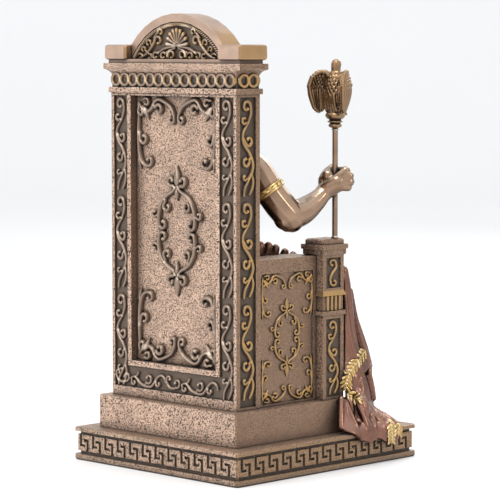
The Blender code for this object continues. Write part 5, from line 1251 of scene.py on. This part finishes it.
def mantle_into(builder):
    """Mantle over the hips and thighs with folds between the knees."""
    blob_into(builder, (0, 18, 106), (28.5, 21, 15))
    tube_into(builder, [(-15, 12, 105, 15.4), (-27, -10, 106, 14.2), (-35, -29.6, 105.2, 11.4)])
    tube_into(builder, [(15, 12, 105, 15.4), (20, -10, 105.6, 14.4), (23, -29, 105.4, 12)])
    tube_into(builder, [(23, -29, 104, 11.6), (23.4, -34, 84, 11), (23.6, -35, 62, 10.4),
                        (23.6, -34, 46, 9.6)])
    for i in range(6):
        share = i / 5
        x = -26 + 40 * share
        drop_to = 66 - 22 * math.sin(math.pi * share)
        tube_into(builder, [(x, -20 - 6 * math.sin(math.pi * share), 104, 5.2),
                            (x + 1, -31, 88, 4.2), (x + 2, -33, drop_to, 3.4)], sides=10)
    for i in range(4):
        share = i / 3
        tube_into(builder, [(-25, 4 - 22 * share, 121 - 3 * share, 2.2),
                            (0, -2 - 22 * share, 108 - 2 * share, 2.6),
                            (21, 2 - 22 * share, 119 - 3 * share, 2.2)], sides=8)
    hip_folds = ((14.5, 127.5, 3.6), (8, 127, 3.4), (2, 125.4, 3.2), (-5.6, 122.6, 3.2),
                 (-12.5, 120.6, 3.0))
    for y, top, radius in hip_folds:
        tube_into(builder, [(-26.4, y, top, radius * 0.8), (-24, y + 1, top - 9, radius),
                            (-18, y + 2, 108, radius)],
                  sides=8)
    tube_into(builder, [(22, 6, 124, 6), (6, 2, 118, 6), (-12, 3, 116, 6.4), (-24, 10, 117, 6)])


def shoulder_cloth_into(builder):
    """Two long folds from the left shoulder down to the hip."""
    tube_into(builder, [(27, 31, 176, 5), (20, 12, 170, 5), (21, 6, 150, 5.4), (22, 6, 128, 6),
                        (20, 8, 112, 7)])
    tube_into(builder, [(20, 31, 182, 4.6), (13, 12, 174, 4.4), (15, 6, 150, 4.8), (17, 5, 126, 5.6)])


# Narrow creases on the falling cloth and on its folds over the plinth: points and radii
FALL_CREASES = (
    ((-54.0, -27.6, 96, 1.1), (-55.2, -29.6, 76, 1.5), (-57.2, -33.6, 60, 1.8), (-58.8, -38, 50, 1.3)),
    ((-50.4, -36.6, 100, 1.0), (-52.4, -38.4, 84, 1.4), (-54.2, -42.4, 68, 1.7), (-55.4, -46.6, 58, 1.4)),
    ((-45.6, -41.6, 92, 1.1), (-48.2, -46, 76, 1.6), (-49.4, -50.4, 64, 1.8), (-50.4, -53.6, 54, 1.4)),
    ((-56.4, -45.6, 52, 1.4), (-57.2, -47, 44, 1.7), (-57.6, -48.6, 36, 1.5)),
    ((-57.6, -36.4, 50, 1.2), (-60.2, -35.4, 44, 1.6), (-61.6, -33.6, 38, 1.4)),
)
POOL_CREASES = (
    ((-60.4, -22.4, 36, 1.2), (-64.4, -22.6, 28, 1.5), (-67.6, -23.6, 22, 1.3), (-69.4, -24.6, 15.6, 1.0)),
    ((-61.4, -29.4, 37, 1.3), (-65.4, -30.4, 29, 1.7), (-68.4, -30.6, 22.6, 1.5), (-70, -30.6, 14, 1.1)),
    ((-61.8, -37.6, 34, 1.3), (-65.4, -38.4, 27, 1.7), (-68.2, -37.4, 22.2, 1.5), (-69.6, -36.8, 14.2, 1.1)),
    ((-60.6, -44.8, 30, 1.4), (-65, -46.2, 26.6, 1.8), (-68.4, -47.6, 22.6, 1.6), (-70.2, -48, 11.6, 1.2)),
    ((-58.6, -51.6, 28, 1.4), (-63.6, -53, 25.6, 1.7), (-68.4, -54.4, 22, 1.5), (-69.8, -54.8, 12.6, 1.1)),
)


def fall_into(builder):
    """Cloth that falls from the right knee; its hem runs slantwise over the shin."""
    sheet_into(builder, [
        [(-47, -20, 116), (-46.5, -26, 118), (-43.5, -32, 117), (-37, -36.5, 115), (-29, -37.5, 112)],
        [(-52, -27, 108), (-51, -31, 108), (-47.4, -36, 108), (-40, -41, 107), (-30, -42, 105)],
        [(-53, -26.8, 96), (-52.2, -32, 96), (-48.2, -37.4, 96), (-41, -43, 95), (-30.4, -44, 93)],
        [(-53.4, -26.8, 84), (-53.4, -33, 83), (-48.6, -39.6, 82), (-42, -44.8, 81), (-31, -45.6, 79)],
        [(-53.8, -26.8, 72), (-54.8, -34, 71), (-50.4, -41.4, 71), (-43.2, -48, 70), (-32, -48, 68)],
        [(-54, -26.8, 62), (-56.6, -35, 61), (-52.2, -45.6, 62.6), (-44.4, -52.4, 62), (-33, -51, 60)],
        [(-54.2, -26.8, 50), (-57.6, -36.4, 50.4), (-54, -48.8, 56), (-46, -55.6, 56), (-34, -53.4, 54)],
    ], 2.6)
    sheet_into(builder, [
        [(-54, -26.8, 54), (-56.6, -33, 52), (-57, -39, 50), (-54, -46, 50)],
        [(-54.4, -27.2, 47), (-58, -32, 44), (-58.4, -40, 42), (-55.6, -48, 40)],
        [(-54.6, -27, 39.4), (-58.6, -31, 36), (-58.8, -40, 33), (-56, -49, 30)],
        [(-55, -27, 33), (-58.8, -31, 30), (-58.8, -40, 28), (-56, -49, 26)],
    ], 2.6)
    tube_into(builder, [(-50, -30, 112, 3), (-51.6, -31.6, 96, 3.2), (-52, -33, 80, 3.6),
                        (-53, -36, 62, 4.2),
                        (-54, -38, 46, 4.2)], sides=10)
    tube_into(builder, [(-47, -40, 76, 4), (-50, -45, 64, 4.2), (-51.8, -47.6, 54, 4),
                        (-51.8, -47.8, 42, 3.6),
                        (-52.6, -49, 30, 3.4), (-53.6, -50.6, 24, 3.6)], sides=10)
    tube_into(builder, [(-42, -45, 72, 5), (-45, -50, 54, 5.4), (-46, -51.6, 40, 5),
                        (-46.6, -52, 30, 4.6)], sides=10)
    tube_into(builder, [(-55.6, -33, 50, 3.4), (-56.6, -36, 42, 3.2), (-55.8, -40, 34, 3.6)], sides=10)
    tube_into(builder, [(-54.8, -27.0, 58, 1.5), (-55.8, -26.6, 48, 1.7), (-57.6, -26.4, 41, 1.8),
                        (-59.4, -26.6, 35, 1.8), (-60.4, -26.8, 28, 1.5)], sides=10)
    for route in FALL_CREASES:
        tube_into(builder, route, sides=8)
    tube_into(builder, [(-55, -37, 47, 3), (-56.6, -41, 42.6, 2.6), (-54.6, -46.4, 38, 2.6)], sides=10)


def pool_into(builder):
    """Folded cloth on the plinth beside the right foot; its hem hangs over the plinth's edge."""
    edge = -PLINTH_WIDTH / 2
    wall = -PEDESTAL_WIDTH / 2

    def over(share):
        """Across the plinth's rim, from the pedestal's wall to the plinth's edge."""
        return wall + (edge - wall) * share

    sheet_into(builder, [
        [(over(0.16), -18.6, 39.4), (over(0.41), -16, 30), (over(0.6), -13.6, 24), (over(0.8), -14, 21.4)],
        [(over(0.17), -22.6, 38), (over(0.5), -21, 29), (edge + 0.6, -19.4, 21.9),
         (edge - 1.4, -20.2, 18.6)],
        [(-58.6, -27.6, 36), (-61.4, -27.4, 25.6), (edge + 0.2, -26.4, 21.7), (edge - 1.7, -26.8, 14.4)],
        [(-58, -33.4, 38), (-63, -33.6, 30), (edge - 0.2, -33.6, 22.6), (edge - 1.9, -33.4, 13.8)],
        [(-57, -39.6, 34), (-60.6, -39.8, 24.6), (edge + 0.2, -39.4, 21.3), (edge - 1.1, -39.4, 14.8)],
        [(-56, -45, 32), (-61.4, -45.4, 27.4), (edge - 0.2, -45, 22.6), (edge - 2.1, -44.8, 12.2)],
        [(-55, -50.4, 29), (-60.8, -51, 25.6), (edge - 0.2, -51.4, 22), (edge - 2.1, -51, 9.8)],
        [(-54.6, -55, 26), (-60.4, -56, 24), (edge, -57.4, 21.8), (edge - 1.7, -57, 13.8)],
        [(-55, -59, 23), (-60, -60, 22), (edge + 1.6, -60.6, 21.2), (edge - 0.3, -60.4, 19.6)],
    ], 2.6)
    tube_into(builder, [(-57.8, -33, 41, 3.4), (-61, -33.6, 35, 4.6), (-62, -34, 28, 4.8),
                        (-61, -35, 23, 4)], sides=10)
    tube_into(builder, [(over(0.16), -19, 39, 1.8), (over(0.43), -15.8, 31, 1.8),
                        (over(0.63), -13.6, 23.6, 1.8)],
              sides=8)
    tube_into(builder, [(-56, -40, 36, 3.4), (-60.4, -42, 29, 3.6), (-64.4, -44, 24.4, 2.8)], sides=10)
    for route in POOL_CREASES:
        tube_into(builder, route, sides=8)
    tube_into(builder, [(-54.6, -46, 30, 4), (-58.6, -51, 25.4, 4), (-63.6, -55, 23, 2.8)], sides=10)
    tube_into(builder, [(-58, -26, 30, 3.6), (-56, -34, 28, 5), (-53, -44, 26.4, 5.4)], sides=10)


def head_into(builder):
    """Bearded head with curls, brows, nose and a laurel wreath."""
    blob_into(builder, (0, 16, 216), (12, 14, 15.5))
    blob_into(builder, (0, 8, 208), (8.6, 8, 9))
    tube_into(builder, [(0, 2.6, 218.6, 1.4), (0, 0.2, 214, 1.7), (0, -1.2, 210.8, 2)], sides=8)
    tube_into(builder, [(-3.0, 1.0, 205.9, 0.7), (0, -0.5, 206.3, 1.1), (3.0, 1.0, 205.9, 0.7)], sides=8)
    tube_into(builder, [(-2.5, 1.2, 204.2, 0.8), (0, -0.3, 204.0, 1.2), (2.5, 1.2, 204.2, 0.8)], sides=8)
    for side in (-1, 1):
        tube_into(builder, [(side * 1.6, 2.6, 219, 1.5), (side * 5, 2.8, 220.2, 1.5),
                            (side * 8.6, 6, 218.4, 1.4)], sides=8)
        blob_into(builder, (side * 5.0, 5.6, 211.2), (3.6, 3.4, 3.2))
        blob_into(builder, (side * 4.8, 4.2, 216.3), (2.3, 2.3, 2.1))
        tube_into(builder, [(side * 2.3, 2.1, 216.5, 0.6), (side * 4.8, 1.9, 217.8, 0.8),
                            (side * 7.4, 4.2, 216.2, 0.6)], sides=8)
        tube_into(builder, [(side * 2.5, 2.3, 215.4, 0.5), (side * 4.8, 2.1, 214.6, 0.6),
                            (side * 7.2, 4.2, 215.6, 0.5)], sides=8)
        tube_into(builder, [(side * 0.6, 1.2, 207.6, 1.5), (side * 4.4, 2.2, 206, 1.6),
                            (side * 6.4, 3.6, 202.6, 1.3)], sides=8)
    rows = 5
    for row in range(rows):
        height = 205.2 - row * 3.9
        half_turn = 74 - row * 7
        reach = 10.2 - row * 1.1
        count = 7 - row
        for i in range(count):
            angle = math.radians(-half_turn + 2 * half_turn * i / max(1, count - 1))
            if row == 0 and abs(angle) < 0.6:
                continue
            lift = 3.0 * (math.sin(angle) ** 2) if row == 0 else 0.0
            blob_into(builder, (reach * math.sin(angle), 9 - reach * math.cos(angle), height + lift - 1),
                      (2.5, 2.5, 3.1))
    rings = ((231.5, 6.0, 7), (227.5, 10.4, 12), (221.5, 12.4, 14), (215.0, 12.8, 14), (208.5, 12.4, 13))
    for k, (height, reach, count) in enumerate(rings):
        for i in range(count):
            angle = 2 * math.pi * (i + 0.5 * (k % 2)) / count
            forward = -math.cos(angle)
            if height < 222 and forward < -0.35:
                continue
            blob_into(builder, (reach * math.sin(angle), 16.5 + 1.12 * reach * forward, height),
                      (2.9, 2.9, 3.0))
    leaves = 18
    for i in range(leaves):
        angle = 2 * math.pi * i / leaves
        x = 13.4 * math.sin(angle)
        y = 16.5 - 14.8 * math.cos(angle)
        blob_into(builder, (x, y, 225.2), (1.3, 3.4, 2.0), (0, 18, math.degrees(angle) + 90))


def eagle_point(x, y, up):
    """A place on the eagle, from the middle of its foot on the sceptre's axis."""
    return Vector((ROD_X + x, ROD_Y + y, EAGLE_FOOT_Z + up))


def eagle_tube(builder, route, sides=12, squash=1.0, squash_axis=(0, 0, 1)):
    places = [(*eagle_point(x, y, up), radius) for x, y, up, radius in route]
    tube_into(builder, places, sides, squash, squash_axis)


def wing_rows(side):
    """Rows of points over a half-raised wing, from its top edge to its feather tips."""
    rows = (((4.2, -0.4, 30.4), (8.0, -0.8, 33.0), (10.2, 3.4, 33.0), (11.8, 7.0, 29.6)),
            ((5.0, 0.6, 25.0), (10.2, -1.8, 25.0), (12.6, 3.0, 25.4), (13.0, 8.4, 24.2)),
            ((4.8, 1.6, 19.0), (9.8, -0.6, 17.6), (11.8, 3.4, 17.2), (12.2, 7.6, 17.6)),
            ((4.6, 2.6, 15.0), (8.4, 1.0, 10.2), (9.8, 3.6, 8.8), (10.8, 6.2, 11.2)))
    return [[eagle_point(side * x, y, up) for x, y, up in row] for row in rows]


def wing_place(side, across, down):
    """A place on the wing, by shares of its span and of its height."""
    rows = wing_rows(side)
    i = min(int(across * 3), 2)
    j = min(int(down * 3), 2)
    share = across * 3 - i
    upper = rows[j][i].lerp(rows[j][i + 1], share)
    lower = rows[j + 1][i].lerp(rows[j + 1][i + 1], share)
    return upper.lerp(lower, down * 3 - j)


def wing_normal(side, across, down):
    """Away from the wing's surface at such a place."""
    across = min(max(across, 0.05), 0.95)
    down = min(max(down, 0.05), 0.95)
    near = 0.04
    along = wing_place(side, across + near, down) - wing_place(side, across - near, down)
    fall = wing_place(side, across, down + near) - wing_place(side, across, down - near)
    return along.cross(fall).normalized()


def wing_into(builder, side):
    """Wing with a rounded top edge, rows of small feathers and long ones below them."""
    sheet_into(builder, wing_rows(side), 1.3)
    eagle_tube(builder, [(side * 3.4, 0, 29, 2.4), (side * 8, -0.4, 31.8, 1.8),
                         (side * 10.2, 3.4, 31.8, 1.4)])
    for i in range(FEATHERS):
        across = i / (FEATHERS - 1)
        for out in (-FEATHER_LIFT, FEATHER_LIFT):
            route = []
            for down, radius in ((0.42, 0.7), (0.6, 0.95), (0.8, 0.9), (0.93, 0.75), (1.0, 0.45)):
                point = wing_place(side, across, down) + wing_normal(side, across, down) * out
                route.append((*point, radius * (1.0 + 0.12 * (i % 2))))
            tube_into(builder, route, 10)
    for row in range(6):
        for i in range(FEATHERS):
            across = min(1.0, (i + 0.5 * (row % 2)) / (FEATHERS - 1))
            down = 0.04 + 0.075 * row
            for out in (-FEATHER_LIFT, FEATHER_LIFT):
                point = wing_place(side, across, down) + wing_normal(side, across, down) * out
                blob_into(builder, point, (0.85, 0.85, 1.3), fine=2)


def eagle_into(builder):
    """Eagle with half-raised wings, looking forward, on a turned knob."""
    for up, radius, thick in ((1.7, 4.0, 1.7), (3.9, 4.7, 0.9), (7.4, 5.8, 3.0)):
        blob_into(builder, eagle_point(0, 0, up), (radius, radius, thick))
    eagle_tube(builder, [(0, 0, 9, 4.0), (0, -0.6, 16, 4.8), (0, -0.8, 24, 5.2), (0, -0.6, 30, 4.0),
                         (0, -0.4, 34.4, 2.8), (0, -0.8, 36.8, 3.0)])
    eagle_tube(builder, [(2.0, -2.6, 37.4, 1.3), (3.8, -4.2, 37.0, 1.0), (4.6, -5.0, 35.6, 0.6)], 10)
    for side in (-1, 1):
        wing_into(builder, side)
        eagle_tube(builder, [(side * 2.4, -1.6, 14, 2.4), (side * 2.6, -2, 9.8, 1.6)], 10)
        for toe in (-1, 0, 1):
            eagle_tube(builder, [(side * 2.6, -2.2, 10.4, 0.8), (side * 2.6 + toe * 1.2, -4.6, 9.4, 0.7),
                                 (side * 2.6 + toe * 1.5, -5.2, 7.8, 0.5)], 8)
    for ring in range(13):
        up = 11 + ring * 2.05
        reach = 5.1 - 0.055 * (up - 22) ** 2 * (0.42 if up > 22 else 0.12)
        for i in range(12):
            angle = 2 * math.pi * (i + 0.5 * (ring % 2)) / 12
            middle = eagle_point(reach * math.sin(angle), -0.6 - reach * math.cos(angle), up)
            blob_into(builder, middle, (1.1, 0.7, 1.4), (-14, 0, math.degrees(angle)), 2)
    for i in range(5):
        lean = i - 2
        eagle_tube(builder, [(lean * 1.0, 3.4, 20, 1.0), (lean * 1.6, 4.0, 15, 1.2),
                             (lean * 1.9, 3.8, 11.6, 1.0),
                             (lean * 1.9, 3.4, 10, 0.6)], 10)


# Ornaments laid over the figure

# Routes of the mantle's gold leaf hems and of the sandals' straps: the side they face and their points
PHOTO_SIDE = (-0.705, 0.709, 0.08)
FRONT_SIDE = (0.0, -1.0, 0.1)
MANTLE_HEMS = (
    (PHOTO_SIDE, ((-49.4, -49, 63.6), (-46.4, -46.0, 58.6), (-43.4, -43.1, 53.4), (-41.6, -41.4, 47.7),
                  (-41.0, -40.8, 41.0))),
    (PHOTO_SIDE, ((-41.8, -41.6, 39.4), (-44.2, -44.0, 37.0), (-47.4, -47.0, 35.6))),
    (PHOTO_SIDE, ((-59.8, -59.4, 23.0), (-60.2, -59.8, 16.5), (-60.2, -59.8, 10.4))),
    (PHOTO_SIDE, ((-63.4, -63.0, 20.6), (-63.0, -62.6, 14.4))),
    (FRONT_SIDE, ((14, -44, 84), (10, -44, 68), (4, -42, 56), (-6, -40, 49), (-18, -42, 50))),
    (FRONT_SIDE, ((32, -44, 56), (25, -46, 51), (14, -44, 50))),
)
SANDAL_STRAPS = (
    (PHOTO_SIDE, ((-50.6, -50.2, 30.6), (-52.6, -52.2, 29.0), (-55, -54.6, 27.6), (-57, -56.6, 26.8))),
    (FRONT_SIDE, ((-42, -60, 26), (-46, -60, 30), (-50, -60, 26))),
    (FRONT_SIDE, ((21, -50, 26), (26, -52, 30), (31, -50, 26))),
)


def band_into(builder, middle, axis, reach, width, studs):
    """Bracelet with two raised rims and a row of studs."""
    turn = Vector(axis).normalized().to_track_quat("Z", "Y").to_matrix().to_4x4()
    place = Matrix.Translation(Vector(middle)) @ turn
    profile = ((-0.5, -0.9), (-0.5, 0.0), (-0.36, 0.35), (-0.24, 0.0), (0.24, 0.0), (0.36, 0.35),
               (0.5, 0.0), (0.5, -0.9))
    sides = 48
    loops = []
    for along, out in profile:
        loop = []
        for i in range(sides):
            angle = 2 * math.pi * i / sides
            spot = ((reach + out) * math.cos(angle), (reach + out) * math.sin(angle), along * width)
            loop.append(builder.verts.new(place @ Vector(spot)))
        loops.append(loop)
    for near, far in zip(loops, loops[1:] + loops[:1]):
        for i in range(sides):
            k = (i + 1) % sides
            builder.faces.new((near[i], near[k], far[k], far[i]))
    for i in range(studs):
        angle = 2 * math.pi * i / studs
        spot = place @ Matrix.Rotation(angle, 4, "Z") @ Matrix.Translation((reach, 0, 0))
        spot = spot @ Matrix.Diagonal((1.1, 1.5, width * 0.3, 1.0))
        bmesh.ops.create_cube(builder, size=1.0, matrix=spot)


def garland_into(builder, ground, facing, points, leaf=2.8, step=2.3):
    """Laurel spray laid on a finished piece from the side it faces: stem and leaf pairs."""
    outward = Vector(facing).normalized()
    route = []
    for point in spline([Vector(point) for point in points], step):
        start = (point + outward * 60) * MILLIMETRE
        hit, spot, normal, _ = ground.ray_cast(start, -outward)
        if hit:
            route.append((spot / MILLIMETRE, normal))
    for (spot, normal), (after, _) in zip(route, route[1:]):
        along = (after - spot).normalized()
        across = normal.cross(along).normalized()
        up = along.cross(across)
        for lean in (-1, 0, 1):
            stem = (along + across * lean * 1.1).normalized()
            reach = leaf * (0.62 if lean == 0 else 1.0)
            turn = Matrix((stem, up.cross(stem), up)).transposed().to_4x4()
            place = Matrix.Translation(spot + stem * reach * 0.8 + up * 0.25) @ turn
            place = place @ Matrix.Diagonal((reach, reach * (0.36 if lean else 0.26), 0.6, 1.0))
            bmesh.ops.create_uvsphere(builder, u_segments=10, v_segments=6, radius=1.0, matrix=place)


# Pieces

def make_throne(finish, recess, smooth, band):
    """Walls, cornice and arch with softly rounded edges."""
    body = throne_body()
    sink_panels(body)
    add_cornice_blocks(body)
    add_arch(body)
    round_edges(body, CAST_ROUNDING)
    settle(body, finish, "throne_bronze", "throne")
    darken_floors(body, recess, (
        (1, BACK_REAR_Y - BORDER_DEPTH, PEDESTAL_TOP, BACK_TOP),
        (1, ARCH_REAR_Y - TYMPANUM_DEPTH, SHELF_TOP, ABOVE_ALL),
        (1, BACK_REAR_Y - FRIEZE_SET_IN, FRIEZE_FOOT, SHELF_FOOT),
        (1, BACK_FRONT_Y + FRIEZE_SET_IN, FRIEZE_FOOT, SHELF_FOOT),
        (0, BACK_WIDTH / 2 - BORDER_DEPTH, PEDESTAL_TOP, BACK_TOP),
        (0, BACK_WIDTH / 2 - FRIEZE_SET_IN, FRIEZE_FOOT, SHELF_FOOT),
        (0, POST_OUTER_X - POST_PANEL_DEPTH, PEDESTAL_TOP, POST_SHAFT_TOP)))
    refinish(body, smooth, (0, 0, BLOCK_FOOT - 0.6), (BACK_WIDTH, BACK_WIDTH, ABOVE_ALL))
    refinish(body, band, (POST_OUTER_X - POST_WIDTH - 3, POST_FRONT_Y - 3, TONGUE_BAND_Z + 11.6),
             (POST_OUTER_X + 3, POST_REAR_Y + 3, TONGUE_BAND_Z + TONGUE_BAND_HEIGHT + 0.2))


def fused(name, forms, voxel, smoothing, triangles):
    """One piece from several groups of overlapping forms."""
    builder = bmesh.new()
    for form in forms:
        form(builder)
    item = new_object(name, builder)
    melt(item, voxel, smoothing, triangles)
    return item


def make_figure(skin, cloth, gold):
    """Body, head, mantle, and the gold on them: armlet, sandal straps and leaf hems."""
    body = fused("body", (torso_into, right_arm_into, fist_into, left_arm_into, legs_into),
                 BODY_VOXEL, 3, BODY_TRIANGLES)
    settle(body, skin, "figure_bronze", "torso_and_head", "right_arm", "left_arm", "right_leg", "left_leg")
    head = fused("head", (head_into,), HEAD_VOXEL, 1, HEAD_TRIANGLES)
    settle(head, skin, "figure_bronze")
    mantle = fused("mantle", (mantle_into, shoulder_cloth_into, fall_into, pool_into),
                   CLOTH_VOXEL, 2, CLOTH_TRIANGLES)
    settle(mantle, cloth, "figure_bronze", "lap_cloth", "fallen_cloth")
    builder = bmesh.new()
    band_into(builder, (-37.8, 19.4, 160.0), (10, 9.3, 19.3), 9.5, 4.0, 16)
    band_into(builder, (36.6, 23.8, 162.8), (-10, 1.6, 12.4), 9.4, 4.0, 16)
    for facing, route in MANTLE_HEMS:
        garland_into(builder, mantle, facing, route)
    for facing, route in SANDAL_STRAPS:
        garland_into(builder, body, facing, route, 1.3, 1.2)
    settle(new_object("gold_trim", builder), gold, "figure_bronze")


def make_rod(finish):
    """Plain round rod that stands on the right post's cap."""
    foot = CAP_TOP
    head = EAGLE_FOOT_Z + 1.0
    builder = bmesh.new()
    place = Matrix.Translation((ROD_X, ROD_Y, (foot + head) / 2))
    bmesh.ops.create_cone(builder, cap_ends=True, segments=40, radius1=ROD_RADIUS, radius2=ROD_RADIUS,
                          depth=head - foot, matrix=place)
    for height, radius in ((foot + 0.8, 2.2), (head - 1.6, 2.1)):
        place = Matrix.Translation((ROD_X, ROD_Y, height)) @ Matrix.Diagonal((radius, radius, 0.8, 1.0))
        bmesh.ops.create_uvsphere(builder, u_segments=32, v_segments=12, radius=1.0, matrix=place)
    settle(new_object("rod", builder), finish, "rod_bronze", "sceptre_rod")


# Stage

def make_stage():
    """Pale floor, soft light from above and the camera at the photo's angle."""
    builder = bmesh.new()
    bmesh.ops.create_circle(builder, cap_ends=True, segments=96, radius=STAGE_RADIUS)
    rim = [edge for edge in builder.edges if edge.is_boundary]
    for i in range(1, RIM_STEPS + 1):
        angle = math.radians(90 * i / RIM_STEPS)
        grown = bmesh.ops.extrude_edge_only(builder, edges=rim)["geom"]
        corners = [part for part in grown if isinstance(part, bmesh.types.BMVert)]
        rim = [part for part in grown if isinstance(part, bmesh.types.BMEdge)]
        for corner in corners:
            outward = Vector((corner.co.x, corner.co.y, 0)).normalized()
            corner.co = outward * (STAGE_RADIUS + STAGE_RIM * math.sin(angle))
            corner.co.z = STAGE_RIM * (1 - math.cos(angle))
    floor = new_object("studio_floor", builder)
    floor.data.shade_smooth()
    made = Material("floor_paint")
    paint = made.mix(made.noise(3.0), (0.91, 0.915, 0.925, 1.0), (0.93, 0.935, 0.945, 1.0))
    made.set("Base Color", paint)
    made.set("Roughness", 0.6)
    floor.data.materials.append(made.material)
    world = bpy.data.worlds.new("studio")
    world.use_nodes = True
    sky = world.node_tree.nodes["Background"]
    sky.inputs["Color"].default_value = SKY_COLOUR
    sky.inputs["Strength"].default_value = SKY_STRENGTH
    bpy.context.scene.world = world
    bpy.context.scene.view_settings.view_transform = "Standard"
    for name, place, size, power, colour in STUDIO_LIGHTS:
        lamp = bpy.data.lights.new(name, "AREA")
        lamp.size = size
        lamp.energy = power
        lamp.color = colour
        item = bpy.data.objects.new(name, lamp)
        item.location = place
        item.rotation_euler = (Vector(LIGHT_AIM) - Vector(place)).to_track_quat("-Z", "Y").to_euler()
        bpy.context.scene.collection.objects.link(item)
    lens = bpy.data.cameras.new("photo_view")
    lens.sensor_width = SENSOR_WIDTH
    lens.lens = CAMERA_LENS
    lens.clip_start = 0.01
    camera = bpy.data.objects.new("photo_view", lens)
    flat = math.cos(CAMERA_PITCH)
    look = Vector((math.sin(CAMERA_YAW) * flat, -math.cos(CAMERA_YAW) * flat, -math.sin(CAMERA_PITCH)))
    camera.location = CAMERA_PLACE
    camera.rotation_euler = look.to_track_quat("-Z", "Y").to_euler()
    bpy.context.scene.collection.objects.link(camera)
    bpy.context.scene.camera = camera


# Name, place in metres, side in metres, power in watts and colour of each lamp
STUDIO_LIGHTS = (
    ("top_light", (-0.3, 0.35, 1.3), 0.6, 6.0, (1.0, 0.98, 0.95)),
    ("left_light", (0.35, 1.35, 0.7), 0.6, 7.0, (1.0, 0.99, 0.97)),
    ("right_light", (-1.5, -0.3, 0.75), 0.3, 2.4, (1.0, 0.97, 0.93)),
    ("front_light", (0.3, -1.3, 0.8), 0.8, 5.0, (1.0, 1.0, 1.0)),
)


def main():
    make_stage()
    # Gold colour; the materials lay it only on faces turned towards -X, as gilding and a warm painted glint
    # on that side.
    gold = (0.50, 0.29, 0.085)
    cast = bronze_material("throne_cast", (0.68, 0.475, 0.355), pits=1.25, gilt_and_warm_glint=gold,
                           gilt_and_glint_everywhere=0.02, side_shade=0.75)
    smooth = bronze_material("smooth_cast", (0.50, 0.35, 0.265), pits=0.12, grain=0.5, shine=0.34,
                             gilt_and_warm_glint=gold, gilt_and_glint_everywhere=0.45, side_shade=0.6)
    band = bronze_material("band_cast", (0.42, 0.28, 0.15), pits=0.3, shine=0.32,
                           polish_and_highlight=(0.72, 0.52, 0.28), gilt_and_warm_glint=gold, gilt_and_glint_everywhere=0.5)
    recess = bronze_material("recess_cast", (0.15, 0.108, 0.08), polish_and_highlight=(0.3, 0.23, 0.17), shine=0.5,
                             metallic=0.55, pits=0.4, halo=0.8, side_shade=0.4)
    base = bronze_material("plinth_cast", (0.58, 0.40, 0.285), pits=1.1, gilt_and_warm_glint=gold, gilt_and_glint_everywhere=0.25,
                           side_shade=0.6)
    # Through under, the carvings, figure, eagle and trim get painted shade under faces and at outlines, and
    # a painted highlight on top.
    carved = bronze_material("carved_cast", (0.34, 0.245, 0.185), shine=0.34, pits=0.1, reach=0.0016,
                             halo=0.25, gilt_and_warm_glint=gold, gilt_and_glint_everywhere=0.55, side_shade=0.3, under=0.3)
    back_carved = bronze_material("back_carved_cast", (0.36, 0.265, 0.205), shine=0.34, pits=0.1,
                                  reach=0.0016, halo=0.25, side_shade=0.4, under=0.3)
    skin = bronze_material("skin_bronze", (0.42, 0.275, 0.185), wash=(0.03, 0.017, 0.011), shine=0.2,
                           polish_and_highlight=(0.90, 0.76, 0.62), metallic=0.95, pits=0.0, reach=0.004, halo=0.85,
                           grain=0.1, under=0.85)
    cloth = bronze_material("cloth_bronze", (0.28, 0.14, 0.10), wash=(0.018, 0.01, 0.008), shine=0.24,
                            polish_and_highlight=(0.72, 0.50, 0.40), metallic=0.95, pits=0.05, reach=0.003, halo=0.8,
                            grain=0.2, under=0.7)
    eagle = bronze_material("eagle_bronze", (0.36, 0.225, 0.125), wash=(0.02, 0.012, 0.008), shine=0.3,
                            polish_and_highlight=(0.88, 0.66, 0.40), metallic=0.9, pits=0.0, reach=0.0014, halo=0.7,
                            grain=0.2, under=0.5)
    trim = bronze_material("gold_rub", (0.56, 0.36, 0.13), wash=(0.04, 0.02, 0.01), shine=0.28,
                           polish_and_highlight=(0.95, 0.74, 0.40), metallic=0.95, pits=0.0, reach=0.0009, halo=0.2,
                           grain=0.2, under=0.4)
    plinth = settle(make_plinth_shape(), base, "plinth_bronze", "plinth")
    darken_floors(plinth, recess, ((1, PLINTH_DEPTH / 2 - KEY_INSET - KEY_DEPTH, 0, PLINTH_TOP),
                                   (0, PLINTH_WIDTH / 2 - KEY_INSET - KEY_DEPTH, 0, PLINTH_TOP)))
    make_throne(cast, recess, smooth, band)
    carve_back(back_carved)
    carve_sides(carved)
    carve_cornice(carved)
    make_figure(skin, cloth, trim)
    make_rod(skin)
    bird = fused("eagle", (eagle_into,), EAGLE_VOXEL, 1, EAGLE_TRIANGLES)
    settle(bird, eagle, "eagle_bronze", "eagle")


main()
